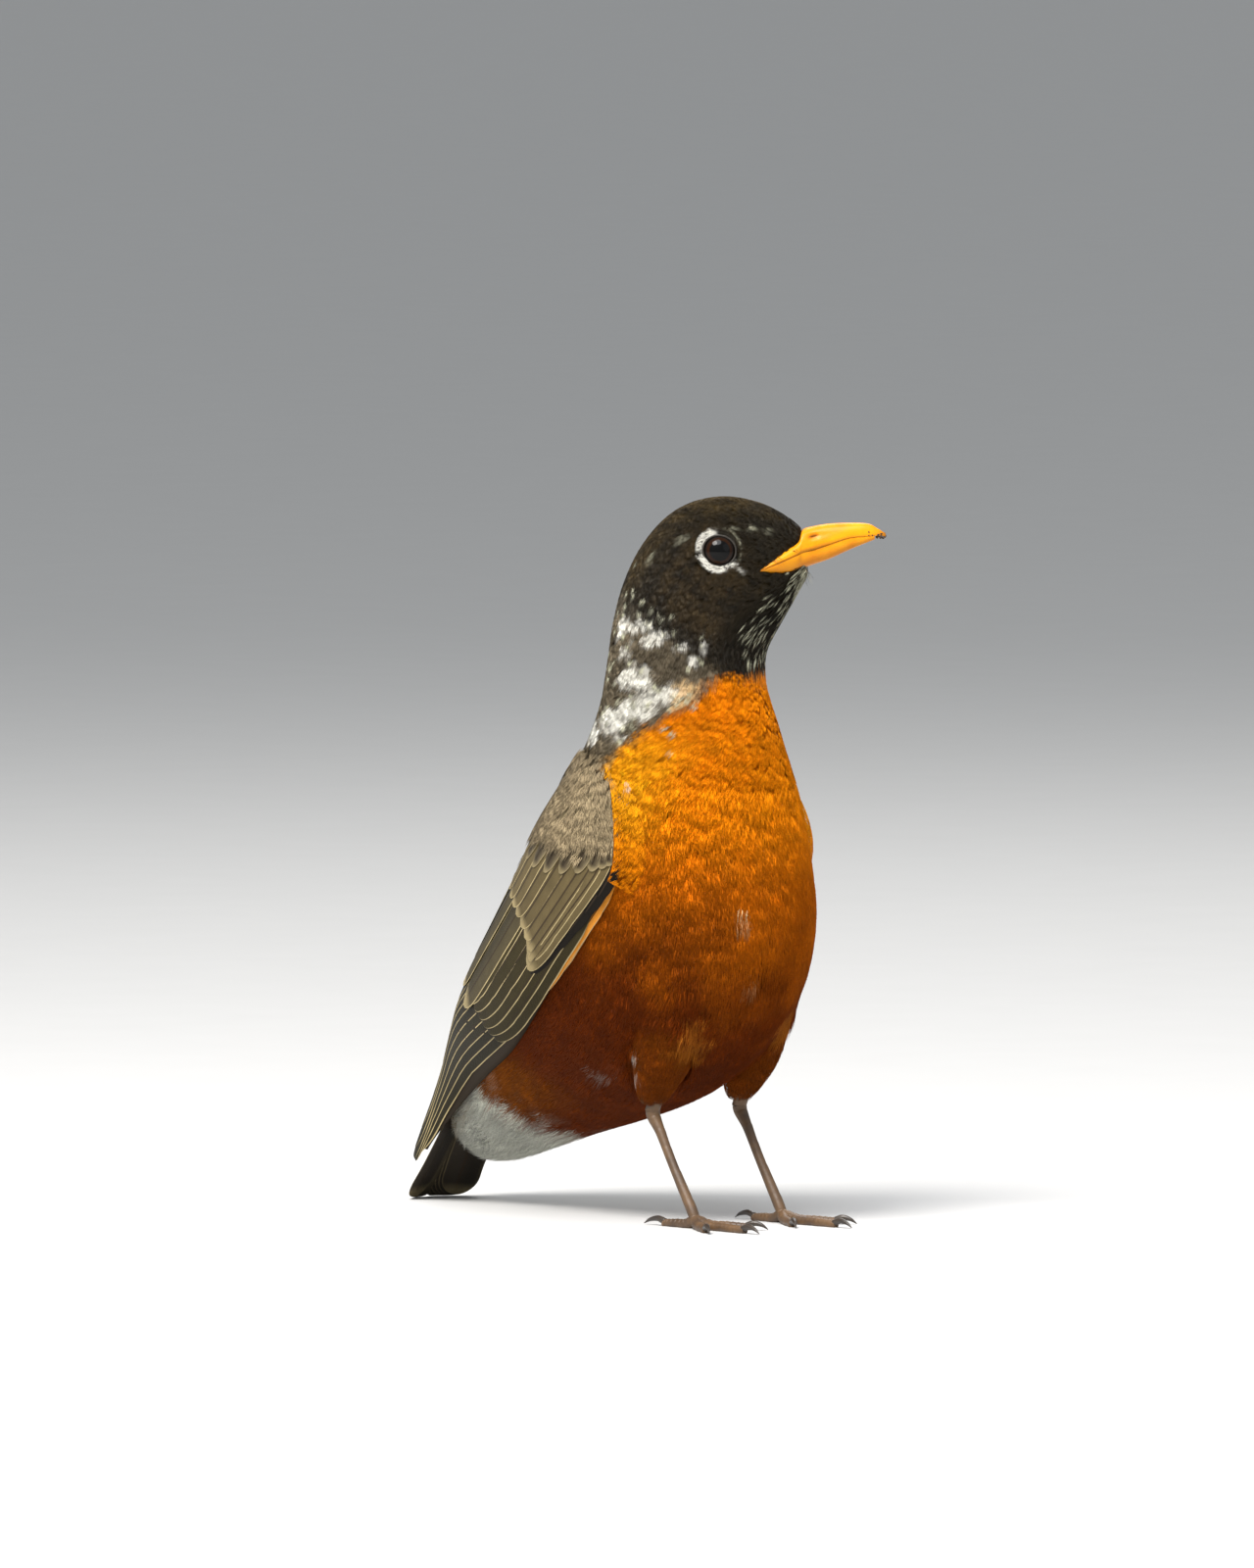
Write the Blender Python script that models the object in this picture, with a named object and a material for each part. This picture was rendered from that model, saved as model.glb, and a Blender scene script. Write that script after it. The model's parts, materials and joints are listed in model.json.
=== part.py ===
"""American robin, a still life-size model standing upright with its head turned to its left.

Units are metres and +Z is up. The bird faces -Y and its left side is at +X. The feet and the tip
of the tail stand at Z = 0, and the origin is at the middle of the model's box, on the floor.

The head, neck and trunk are one lofted body, parted by thin cuts. Each station of the loft is a
flat ring through a point of the back's outline and a point of the belly's outline. Its places are
in millimetres: how far it lies ahead of the neck's upright axis, and how high above the floor.
"""

import math
from dataclasses import dataclass

import bmesh
import bpy
import numpy as np
from mathutils import Matrix, Vector
from mathutils.bvhtree import BVHTree

MM = 0.001
GAP = 0.3  # between two pieces that meet, in mm like every size below

# Where the model's box lies about the feet.
SHIFT_X = -1.0
SHIFT_Y = -44.72

# The neck's upright axis, about which the head is turned.
NECK_Y = 16.6
HEAD_TURN = 50.0  # degrees to the bird's left

# The eye.
EYE_RADIUS = 4.7
EYE_AHEAD = 7.8
EYE_UP = 165.8
EYE_OUT = 8.6  # from the head's middle plane to the ball's middle

# The leg, measured from the middle between the feet; the left one mirrors the right.
LEG_OUT = 14.0
HEEL_BACK = 13.0
HEEL_UP = 27.5
ANKLE_BACK = -2.5
ANKLE_UP = 3.3
TARSUS_RADIUS = 1.25
TOE_RADIUS = 1.25
TOE_HEIGHT = 0.8  # of its radius, so that its underside is flattened by the floor

# Each toe: its name, length, degrees outwards from straight ahead, and claw length.
TOES = [
    ("inner", 13.5, -30.0, 5.2),
    ("middle", 19.0, 2.0, 6.0),
    ("outer", 14.0, 30.0, 5.2),
    ("hind", 11.0, 178.0, 7.4),
]

# The tail, a shallow roof laid along the back's line and resting its tip on the floor.
TAIL_ROOT_BACK = 87.0
TAIL_ROOT_UP = 49.6
TAIL_SLOPE = 56.0  # degrees below the horizontal
TAIL_LENGTH = 59.2
TAIL_HALF_WIDTH = [7.4, 8.4, 9.2, 10.0, 11.2, 13.2]
TAIL_DROP = 3.6  # how much lower its edges lie than its middle

@dataclass
class Station:
    """One ring of the body.

    back and belly are (ahead, up) places on the outline. widest is how far down from the back
    the ring is widest, as a share of its depth, and square is 2 for an ellipse and more for a
    fuller ring.
    """

    name: str
    back: tuple
    belly: tuple
    half_width: float
    widest: float
    square: float
    turn: float  # degrees about the neck's axis


BODY = [
    Station("bill base", (28.6, 170.0), (29.6, 160.2), 3.4, 0.50, 2.0, HEAD_TURN),
    Station("lores", (27.9, 171.2), (29.4, 158.4), 4.4, 0.52, 2.0, HEAD_TURN),
    Station("forehead", (24.2, 174.1), (27.8, 155.6), 5.6, 0.56, 2.1, HEAD_TURN),
    Station("fore crown", (18.0, 177.2), (25.4, 151.2), 7.6, 0.56, 2.3, HEAD_TURN),
    Station("crown", (9.6, 178.8), (23.2, 147.2), 9.9, 0.54, 2.4, HEAD_TURN),
    Station("hind crown", (1.2, 177.4), (21.2, 143.6), 12.1, 0.51, 2.35, HEAD_TURN),
    Station("occiput", (-5.6, 173.3), (19.8, 140.4), 13.4, 0.49, 2.25, HEAD_TURN),
    Station("nape top", (-11.6, 166.0), (19.4, 137.2), 14.1, 0.48, 2.1, HEAD_TURN),
    Station("nape", (-15.9, 156.8), (19.6, 134.0), 14.5, 0.48, 2.1, HEAD_TURN),
    Station("neck top", (-18.4, 147.2), (20.2, 130.6), 15.3, 0.50, 2.1, HEAD_TURN),
    Station("neck", (-19.9, 137.4), (21.6, 126.0), 16.6, 0.52, 2.1, 42.0),
    Station("neck base", (-22.0, 128.0), (24.0, 119.6), 19.4, 0.54, 2.1, 24.0),
    Station("shoulders", (-26.0, 118.6), (26.4, 111.2), 23.6, 0.55, 2.1, 8.0),
    Station("upper breast", (-31.6, 109.0), (29.2, 100.4), 27.4, 0.55, 2.1, 0.0),
    Station("breast", (-37.6, 99.2), (32.0, 86.8), 29.6, 0.55, 2.1, 0.0),
    Station("full breast", (-43.2, 89.4), (34.0, 73.0), 30.6, 0.55, 2.1, 0.0),
    Station("back", (-49.2, 80.4), (31.6, 59.0), 30.4, 0.55, 2.1, 0.0),
    Station("belly", (-55.0, 72.0), (24.4, 46.4), 29.2, 0.55, 2.1, 0.0),
    Station("lower belly", (-60.8, 64.2), (12.4, 36.2), 27.0, 0.54, 2.1, 0.0),
    Station("flank", (-66.2, 56.8), (-2.6, 29.4), 23.8, 0.52, 2.1, 0.0),
    Station("rump", (-71.4, 49.6), (-18.8, 24.4), 20.2, 0.50, 2.1, 0.0),
    Station("vent", (-76.4, 42.4), (-35.6, 20.0), 16.4, 0.50, 2.0, 0.0),
    Station("tail root", (-81.2, 35.2), (-51.0, 15.6), 12.8, 0.50, 2.0, 0.0),
    Station("under coverts", (-85.8, 28.0), (-65.0, 11.8), 9.2, 0.50, 2.0, 0.0),
    Station("covert tips", (-89.2, 22.0), (-77.0, 11.0), 4.6, 0.50, 2.0, 0.0),
]
HEAD_END = 8.5
NECK_END = 12.0
CUT = 0.12  # of a station, between two pieces of the body

# The folded right wing's two long edges, as (out, back, up) places from the shoulder to the
# tip of the longest primary, and how closely the wing lies on the body along them.
WING_LOWER = [
    (-24.4, 18.5, 115.0),
    (-27.8, 10.9, 108.0),
    (-30.6, 6.4, 98.0),
    (-31.6, 6.4, 87.5),
    (-33.2, 14.0, 76.0),
    (-32.5, 25.0, 64.0),
    (-29.5, 39.0, 50.5),
    (-23.5, 56.0, 39.0),
    (-19.0, 71.0, 32.4),
    (-16.2, 84.0, 25.8),
    (-14.6, 97.0, 17.2),
    (-13.4, 106.0, 9.6),
]
WING_UPPER = [
    (-19.0, 27.5, 118.6),
    (-15.8, 37.0, 112.4),
    (-12.0, 47.2, 104.5),
    (-9.0, 55.6, 96.5),
    (-6.8, 63.4, 86.6),
    (-4.8, 72.2, 76.4),
    (-3.6, 81.0, 66.4),
    (-3.4, 89.0, 56.0),
    (-4.2, 96.0, 45.0),
    (-6.2, 102.0, 33.8),
    (-9.0, 107.4, 22.0),
    (-11.8, 111.8, 10.6),
]
WING_HUG = [1.0, 1.0, 1.0, 1.0, 1.0, 1.0, 1.0, 0.9, 0.6, 0.2, 0.0, 0.0]
THINNEST = 0.9
WING_THICK = [1.6, 2.4, 2.8, 3.0, 3.0, 3.0, 2.8, 2.4, 2.0, 1.6, 1.3, 1.0]
# How far its middle stands out from the body.
WING_LIFT = [1.2, 2.4, 4.0, 5.2, 5.8, 6.6, 7.4, 7.8, 7.8, 7.0, 6.0, 5.0]
WING_BOW = [0.0, 1.4, 3.4, 6.0, 8.0, 9.0, 9.4, 9.2, 7.6, 4.8, 2.2, 0.5]  # and from its own edges

# The bill's sections: ahead, top of the upper half, mouth, bottom of the lower half, half-width.
BILL = [
    (18.6, 161.9, 160.9, 159.9, 9.3),
    (21.2, 163.8, 162.0, 159.3, 8.2),
    (23.9, 165.5, 163.1, 159.3, 7.1),
    (27.4, 167.6, 164.6, 160.0, 5.4),
    (28.6, 170.5, 165.1, 160.4, 4.6),
    (31.4, 171.4, 165.9, 161.6, 3.9),
    (35.2, 172.0, 167.1, 163.3, 3.3),
    (40.0, 172.2, 168.6, 165.5, 2.6),
    (44.6, 172.0, 169.0, 167.4, 1.8),
    (46.9, 170.9, 169.1, 168.2, 1.2),
    (49.0, 169.6, 168.9, 168.3, 0.5),
]
BILL_RINGS = 16
LOWER_BILL_RINGS = 14  # it is as much shorter than the upper half


def smooth(values, t):
    """The value at t of a smooth curve through values, where t counts them from 0."""
    points = np.asarray(values, float)
    last = len(points) - 1
    t = min(max(t, 0.0), float(last))
    i = min(int(t), last - 1)
    u = t - i
    before = points[i - 1] if i > 0 else 2 * points[0] - points[1]
    after = points[i + 2] if i + 2 <= last else 2 * points[last] - points[last - 1]
    start, end = points[i], points[i + 1]
    lean_start, lean_end = (end - before) / 2, (after - start) / 2
    return (
        (2 * u**3 - 3 * u**2 + 1) * start
        + (u**3 - 2 * u**2 + u) * lean_start
        + (3 * u**2 - 2 * u**3) * end
        + (u**3 - u**2) * lean_end
    )


def placed(ahead, out, up, turn):
    """A place given ahead of the neck's axis and out to the bird's left, turned about it."""
    angle = math.radians(turn)
    x = out * math.cos(angle) + ahead * math.sin(angle)
    y = NECK_Y + out * math.sin(angle) - ahead * math.cos(angle)
    return Vector((x + SHIFT_X, y + SHIFT_Y, up)) * MM


def standing(out, back, up):
    """A place given out to the bird's left and back from the middle of its feet."""
    return Vector((out + SHIFT_X, back + SHIFT_Y, up)) * MM


def body_ring(t, sides, grown=0.0):
    """The body's ring at station t, grown outwards by a few tenths."""
    back = smooth([s.back for s in BODY], t)
    belly = smooth([s.belly for s in BODY], t)
    half_width = smooth([s.half_width for s in BODY], t) + grown
    widest = smooth([s.widest for s in BODY], t)
    power = 2 / smooth([s.square for s in BODY], t)
    turn = smooth([s.turn for s in BODY], t)
    depth = np.linalg.norm(back - belly)
    upwards = (back - belly) / depth
    middle = back + widest * (belly - back)
    ring = []
    for k in range(sides):
        angle = 2 * math.pi * k / sides
        c, s = math.cos(angle), math.sin(angle)
        reach = (widest if c > 0 else 1 - widest) * depth + grown
        rise = math.copysign(abs(c) ** power, c) * reach
        out = math.copysign(abs(s) ** power, s) * half_width
        ahead, up = middle + upwards * rise
        ring.append(placed(ahead, out, up, turn))
    return ring


def loft(name, rings, material, hidden=False):
    """A closed solid through rings of as many points each, capped at both ends."""
    mesh = bmesh.new()
    rows = [[mesh.verts.new(p) for p in ring] for ring in rings]
    sides = len(rows[0])
    for one, two in zip(rows, rows[1:]):
        for k in range(sides):
            after = (k + 1) % sides
            mesh.faces.new((one[k], one[after], two[after], two[k]))
    mesh.faces.new(rows[0][::-1])
    mesh.faces.new(rows[-1])
    return finished(name, mesh, material, hidden)


def finished(name, mesh, material, hidden=False):
    """Makes the object of a bmesh, with its faces out and its round parts shaded smooth."""
    bmesh.ops.recalc_face_normals(mesh, faces=mesh.faces)
    data = bpy.data.meshes.new(name)
    mesh.to_mesh(data)
    mesh.free()
    data.shade_smooth()
    data.set_sharp_from_angle(angle=math.radians(50))
    data.materials.append(material)
    obj = bpy.data.objects.new(name, data)
    bpy.context.scene.collection.objects.link(obj)
    if hidden:
        obj.hide_render = True
        obj.display_type = "WIRE"
    return obj


def cut(obj, cutter):
    """Takes the cutter's shape out of obj."""
    boolean = obj.modifiers.new("cut_" + cutter.name, "BOOLEAN")
    boolean.operation = "DIFFERENCE"
    boolean.object = cutter


def finish_material(name, colour, roughness):
    """A plain material of one colour."""
    material = bpy.data.materials.new(name)
    material.use_nodes = True
    shader = material.node_tree.nodes["Principled BSDF"]
    shader.inputs["Base Color"].default_value = (*colour, 1.0)
    shader.inputs["Roughness"].default_value = roughness
    material.diffuse_color = (*colour, 1.0)
    return material


def body_length(first, last, steps, sides, grown=0.0):
    """The rings of the body from one station to another."""
    return [body_ring(t, sides, grown) for t in np.linspace(first, last, steps)]


def ring_at(centre, direction, radius, sides, flat=1.0):
    """A ring round a place in mm, square to a direction, in the feet's frame."""
    along = Vector(direction).normalized()
    level = along.cross(Vector((0, 0, 1)))
    level = level.normalized() if level.length > 1e-3 else Vector((1, 0, 0))
    rise = level.cross(along)
    ring = []
    for k in range(sides):
        angle = 2 * math.pi * (k + 0.5) / sides
        ring.append(
            Vector(centre)
            + level * math.cos(angle) * radius
            + rise * math.sin(angle) * radius * flat
        )
    return ring


def tube(points, radii, steps, sides, flat=1.0, floor=None):
    """Rings along a smooth line through places in the feet's frame, kept above a floor."""
    rings = []
    last = len(points) - 1
    for t in np.linspace(0, last, steps):
        ahead = smooth(points, min(t + 0.05, last))
        behind = smooth(points, max(t - 0.05, 0))
        ring = ring_at(smooth(points, t), ahead - behind, float(smooth(radii, t)), sides, flat)
        if floor is not None:
            ring = [Vector((p.x, p.y, max(p.z, floor))) for p in ring]
        rings.append([standing(*p) for p in ring])
    return rings


def trunk_rings(grown=0.0):
    """The rings of the trunk."""
    return body_length(NECK_END + CUT, len(BODY) - 1, 22, 28, grown)


def build_body(feather):
    """The head, neck and trunk."""
    head = loft("head", body_length(0.0, HEAD_END, 20, 24), feather)
    loft("neck", body_length(HEAD_END + CUT, NECK_END, 8, 24), feather)
    trunk = loft("trunk", trunk_rings(), feather)
    return head, trunk


def ball(name, centre, radius, material, hidden=False):
    """A round solid."""
    mesh = bmesh.new()
    bmesh.ops.create_uvsphere(
        mesh, u_segments=14, v_segments=10, radius=radius, matrix=Matrix.Translation(centre)
    )
    return finished(name, mesh, material, hidden)


def build_eyes(head, material):
    """Both eyeballs, in sockets cut in the head."""
    for name, side in (("right", -1), ("left", 1)):
        centre = placed(EYE_AHEAD, side * EYE_OUT, EYE_UP, HEAD_TURN)
        ball("eye_" + name, centre, EYE_RADIUS * MM, material)
        cut(head, ball("socket_" + name, centre, (EYE_RADIUS + GAP) * MM, material, True))


def bill_rings(count, upper, grown=0.0):
    """The first rings of one half of the bill, or of both as one shape when upper is None."""
    rings = []
    for i in range(count):
        ahead, top, mouth, bottom, half_width = smooth(BILL, i * (len(BILL) - 1) / (BILL_RINGS - 1))
        middle = mouth + (0 if upper is None else GAP * 0.7 if upper else -GAP * 0.7)
        rise = top - middle if upper is None or upper else 0.0
        fall = middle - bottom if upper is None or not upper else 0.0
        if i == 0:
            ahead -= grown
        ring = []
        for k in range(14):
            angle = 2 * math.pi * k / 14
            c, s = math.cos(angle), math.sin(angle)
            up = middle + c * (rise if c > 0 else fall) + math.copysign(1.3 * grown, c)
            ring.append(placed(ahead, s * (half_width + grown), up, HEAD_TURN))
        rings.append(ring)
    return rings


def build_bill(head, material):
    """The two halves of the bill, let into the face as far as the gape."""
    loft("bill_upper", bill_rings(BILL_RINGS, True), material)
    loft("bill_lower", bill_rings(LOWER_BILL_RINGS, False), material)
    cut(head, loft("bill_bed", bill_rings(10, None, GAP * 1.4), material, True))


def body_tree(grown):
    """A search tree of the body's surface, grown outwards."""
    rings = body_length(NECK_END - 2, len(BODY) - 1, 50, 48, grown)
    places = [p for ring in rings for p in ring]
    faces = []
    for i in range(len(rings) - 1):
        for k in range(48):
            after = (k + 1) % 48
            faces.append((i * 48 + k, i * 48 + after, (i + 1) * 48 + after, (i + 1) * 48 + k))
    return BVHTree.FromPolygons(places, faces)


def clear_of(tree, place, height):
    """The place, or the nearest one that stands so many mm out from the tree's surface."""
    bed, normal = tree.find_nearest(place)[:2]
    if (place - bed).dot(normal) < height * MM:
        return bed + normal * height * MM
    return place


def wing_surfaces(rows, columns):
    """The outer and inner faces of the right wing, as grids of places."""
    bare = body_tree(2 * GAP)
    lifted = [body_tree(lift) for lift in WING_LIFT]
    outer = []
    for t in np.linspace(0, len(WING_LOWER) - 1, rows):
        low = standing(*smooth(WING_LOWER, t))
        high = standing(*smooth(WING_UPPER, t))
        hug = float(smooth(WING_HUG, t))
        course = Vector(smooth(WING_LOWER, t + 0.3)) - Vector(smooth(WING_LOWER, t - 0.3))
        row = []
        for f in np.linspace(0, 1, columns):
            place = low.lerp(high, f)
            inside = standing(0.0, 25.0 + (110.0 - place.z / MM) * 0.55, place.z / MM - 4.0)
            below, above = (
                lifted[i].ray_cast(inside, (place - inside).normalized())[0]
                for i in (int(t), math.ceil(t))
            )
            bend = max(math.sin(math.pi * f), 0.0) ** 0.5
            across = (high - low).cross(course).normalized()
            place = place + across * float(smooth(WING_BOW, t)) * bend * MM
            if below is not None and above is not None:
                place = place.lerp(below.lerp(above, t % 1), bend * hug)
            row.append(clear_of(bare, place, THINNEST))
        outer.append(row)
    inner = []
    for i, row in enumerate(outer):
        t = i * (len(WING_LOWER) - 1) / (rows - 1)
        hug = float(smooth(WING_HUG, t))
        thick = float(smooth(WING_THICK, t))
        line = []
        for j, place in enumerate(row):
            before, after = outer[max(i - 1, 0)][j], outer[min(i + 1, rows - 1)][j]
            below, above = row[max(j - 1, 0)], row[min(j + 1, columns - 1)]
            out = (above - below).cross(after - before).normalized()
            free = clear_of(bare, place - out * thick * MM, 0.0)
            bed = bare.find_nearest(place)[0]
            line.append(free.lerp(bed, hug))
        inner.append(line)
    return outer, inner


def plate(name, outer, inner, material, mirrored=False):
    """A closed solid between two grids of places, mirrored across the bird's middle if asked."""
    mesh = bmesh.new()
    rows, columns = len(outer), len(outer[0])

    def side(place):
        return Vector((2 * SHIFT_X * MM - place.x, place.y, place.z)) if mirrored else place

    top = [[mesh.verts.new(side(p)) for p in row] for row in outer]
    bottom = [[mesh.verts.new(side(p)) for p in row] for row in inner]
    for grid in (top, bottom):
        for i in range(rows - 1):
            for j in range(columns - 1):
                quad = (grid[i][j], grid[i + 1][j], grid[i + 1][j + 1], grid[i][j + 1])
                mesh.faces.new(quad if grid is top else quad[::-1])
    rim = [(i, 0) for i in range(rows)] + [(rows - 1, j) for j in range(1, columns)]
    rim += [(i, columns - 1) for i in range(rows - 2, -1, -1)]
    rim += [(0, j) for j in range(columns - 2, 0, -1)]
    for one, two in zip(rim, rim[1:] + rim[:1]):
        a, b = top[one[0]][one[1]], top[two[0]][two[1]]
        c, d = bottom[two[0]][two[1]], bottom[one[0]][one[1]]
        mesh.faces.new((b, a, d, c))
    return finished(name, mesh, material)


def build_wings(material):
    """Both folded wings, resting on the body."""
    outer, inner = wing_surfaces(26, 9)
    plate("wing_right", outer, inner, material)
    plate("wing_left", outer, inner, material, mirrored=True)


def tail_rings(steps, deep=0.0, grown=0.0, above=0.0):
    """The tail's rings from root to tip; the bed under it is the same shape, grown and raised."""
    slope = math.radians(TAIL_SLOPE)
    along = Vector((0, math.cos(slope), -math.sin(slope)))
    lift = Vector((0, math.sin(slope), math.cos(slope)))
    root = Vector((0, TAIL_ROOT_BACK, TAIL_ROOT_UP)) - along * grown
    rings = []
    for t in np.linspace(0, 1, steps):
        length = TAIL_LENGTH * t
        half_width = float(smooth(TAIL_HALF_WIDTH, 5 * t)) + grown
        thick = 4.6 - 3.0 * min(t * 1.6, 1.0)
        sink = 0.6 + 1.4 * min(t * 2, 1.0)
        ring = []
        for f, top in [(f, True) for f in np.linspace(-1, 1, 9)] + [
            (f, False) for f in np.linspace(1, -1, 9)
        ]:
            short = 2.6 * abs(f) ** 2.4 * max(t * 4 - 3, 0)
            drop = sink + TAIL_DROP * abs(f) ** 1.6
            edge = 0.45 + 0.55 * (1 - abs(f) ** 3)
            level = above if top else -thick * edge - grown
            place = root + along * (length - short) + lift * (level - drop)
            ring.append(standing(half_width * f, place.y, max(place.z, deep)))
        rings.append(ring)
    return rings


def build_tail(trunk, material):
    """The folded tail, and its bed in the end of the trunk."""
    loft("tail", tail_rings(14), material)
    cut(trunk, loft("tail_bed", tail_rings(14, -20.0, GAP * 1.4, 12.0), material, True))


def build_leg(name, side, trunk, skin, horn, feather):
    """One leg: its feathered thigh, its shank and toes as one piece, and its claws."""
    out = side * LEG_OUT
    thigh = loft(
        "thigh_" + name,
        tube(
            [(out * 1.0, 6.0, 50.0), (out, 9.5, 41.0), (out, 12.5, 33.2), (out, 13.2, 30.2)],
            [9.0, 7.4, 4.2, 2.2],
            9,
            16,
        ),
        feather,
    )
    cut(thigh, trunk)
    shank = loft(
        "leg_" + name,
        tube(
            [
                (out, HEEL_BACK + 0.8, HEEL_UP + 1.2),
                (out, HEEL_BACK - 0.8, HEEL_UP - 1.2),
                (out, (HEEL_BACK + ANKLE_BACK) / 2, (HEEL_UP + ANKLE_UP) / 2),
                (out, ANKLE_BACK, ANKLE_UP),
                (out, ANKLE_BACK - 1.2, ANKLE_UP - 1.9),
            ],
            [1.3, 1.75, TARSUS_RADIUS, TARSUS_RADIUS + 0.25, 1.2],
            11,
            10,
        ),
        skin,
    )
    for toe, length, spread, claw in TOES:
        angle = math.radians(spread)
        step = Vector((side * math.sin(angle), -math.cos(angle), 0))
        start = Vector((out, ANKLE_BACK - 0.9, 0))
        radii = [1.3, TOE_RADIUS, TOE_RADIUS * 0.96, TOE_RADIUS * 0.84]
        line = [start - step * 0.6 + Vector((0, 0, 2.4))] + [
            start + step * length * share + Vector((0, 0, TOE_HEIGHT * radius))
            for share, radius in zip((0.30, 0.65, 1.0), radii[1:])
        ]
        piece = loft(
            f"toe_{toe}_{name}", tube([tuple(p) for p in line], radii, 6, 8, 1.0, 0.0), skin, True
        )
        join(shank, piece)
        tip = start + step * (length + GAP * 1.6)
        hook = [
            tip + Vector((0, 0, 1.1)),
            tip + step * claw * 0.45 + Vector((0, 0, 1.5)),
            tip + step * claw * 0.85 + Vector((0, 0, 0.9)),
            tip + step * claw + Vector((0, 0, 0.45)),
        ]
        loft(
            f"claw_{toe}_{name}",
            tube([tuple(p) for p in hook], [0.85, 0.75, 0.45, 0.27], 6, 8, 1.15, 0.12),
            horn,
        )


def join(obj, other):
    """Adds the other's shape to obj."""
    boolean = obj.modifiers.new("join_" + other.name, "BOOLEAN")
    boolean.operation = "UNION"
    boolean.object = other


def main():
    """Clears the scene and builds every piece."""
    for obj in list(bpy.data.objects):
        bpy.data.objects.remove(obj)
    feather = finish_material("feather", (0.45, 0.22, 0.1), 0.9)
    vane = finish_material("vane", (0.2, 0.17, 0.14), 0.8)
    horn = finish_material("horn", (0.12, 0.09, 0.06), 0.5)
    yellow = finish_material("bill", (0.85, 0.5, 0.06), 0.4)
    leg = finish_material("leg", (0.2, 0.14, 0.1), 0.6)
    eye = finish_material("eye", (0.03, 0.02, 0.015), 0.1)
    head, trunk = build_body(feather)
    build_eyes(head, eye)
    build_bill(head, yellow)
    build_wings(vane)
    build_tail(trunk, vane)
    bed = loft("thigh_bed", trunk_rings(GAP * 1.4), feather, True)
    for name, side in (("right", -1), ("left", 1)):
        build_leg(name, side, bed, leg, horn, feather)


if __name__ == "__main__":
    main()
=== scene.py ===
"""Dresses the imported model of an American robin: skin, feathers, bill, eyes, legs and a plain stage.

Sizes in the classes are in millimetres and meshes are in metres, with +Z up. The bird faces -Y and
its left side is at +X. Places on the body are given as (station, round): the station counts the
rings of the body's loft from the bill to the tail, and round is in degrees from the back, negative
on the bird's right.
"""

from __future__ import annotations

import json
import logging
import math
from dataclasses import dataclass, field
from enum import Enum
from typing import Any, Sequence

import bmesh
import bpy
import numpy as np
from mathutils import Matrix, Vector
from mathutils.bvhtree import BVHTree
from mathutils.kdtree import KDTree

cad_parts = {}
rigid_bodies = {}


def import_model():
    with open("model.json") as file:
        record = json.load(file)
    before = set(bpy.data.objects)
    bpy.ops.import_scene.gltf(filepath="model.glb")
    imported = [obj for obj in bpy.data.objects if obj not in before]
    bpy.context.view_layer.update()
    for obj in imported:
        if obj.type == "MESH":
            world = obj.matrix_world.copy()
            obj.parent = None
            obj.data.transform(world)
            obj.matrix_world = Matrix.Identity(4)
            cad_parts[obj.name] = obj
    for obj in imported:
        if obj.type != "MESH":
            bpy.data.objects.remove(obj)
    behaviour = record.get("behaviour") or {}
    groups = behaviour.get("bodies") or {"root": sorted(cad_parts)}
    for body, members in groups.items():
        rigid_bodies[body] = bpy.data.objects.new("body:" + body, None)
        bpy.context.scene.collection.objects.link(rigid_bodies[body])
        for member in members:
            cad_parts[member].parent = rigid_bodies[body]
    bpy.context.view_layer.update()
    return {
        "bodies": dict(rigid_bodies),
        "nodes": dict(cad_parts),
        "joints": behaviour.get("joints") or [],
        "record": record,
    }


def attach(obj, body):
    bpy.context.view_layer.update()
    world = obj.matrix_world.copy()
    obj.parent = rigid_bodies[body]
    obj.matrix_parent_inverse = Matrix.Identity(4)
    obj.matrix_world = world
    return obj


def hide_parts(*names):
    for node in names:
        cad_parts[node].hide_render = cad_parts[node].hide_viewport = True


LOG = logging.getLogger("robin")
MM = 0.001
Array = np.ndarray
Colour = tuple[float, float, float]

FEET = np.array([-1.0, -44.72, 0.0])  # the middle of the feet in the model's frame
NECK_Y = 16.6  # the neck's upright axis, behind the feet's middle
HEAD_TURN = 50.0
EYE = (7.8, 8.6, 165.8)  # ahead, out and up from the neck's axis
EYE_RADIUS = 4.7
PATCH = 0.003  # of the unwrap, for one tuft
BUMP_DEPTH = 0.0001  # of every finish, in metres
HOOD_END, NECK_END = 8.4, 12.2  # the stations where the coat changes pieces


class Side(Enum):
    """The two sides of the bird, by the sign of X."""

    RIGHT = -1
    LEFT = 1

    @property
    def label(self) -> str:
        """The side as pieces' names hold it."""
        return self.name.lower()


class Plume(Enum):
    """The kinds of small feather."""

    CONTOUR = "contour"
    VELVET = "velvet"
    DOWN = "down"
    COVERT = "covert"


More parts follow.
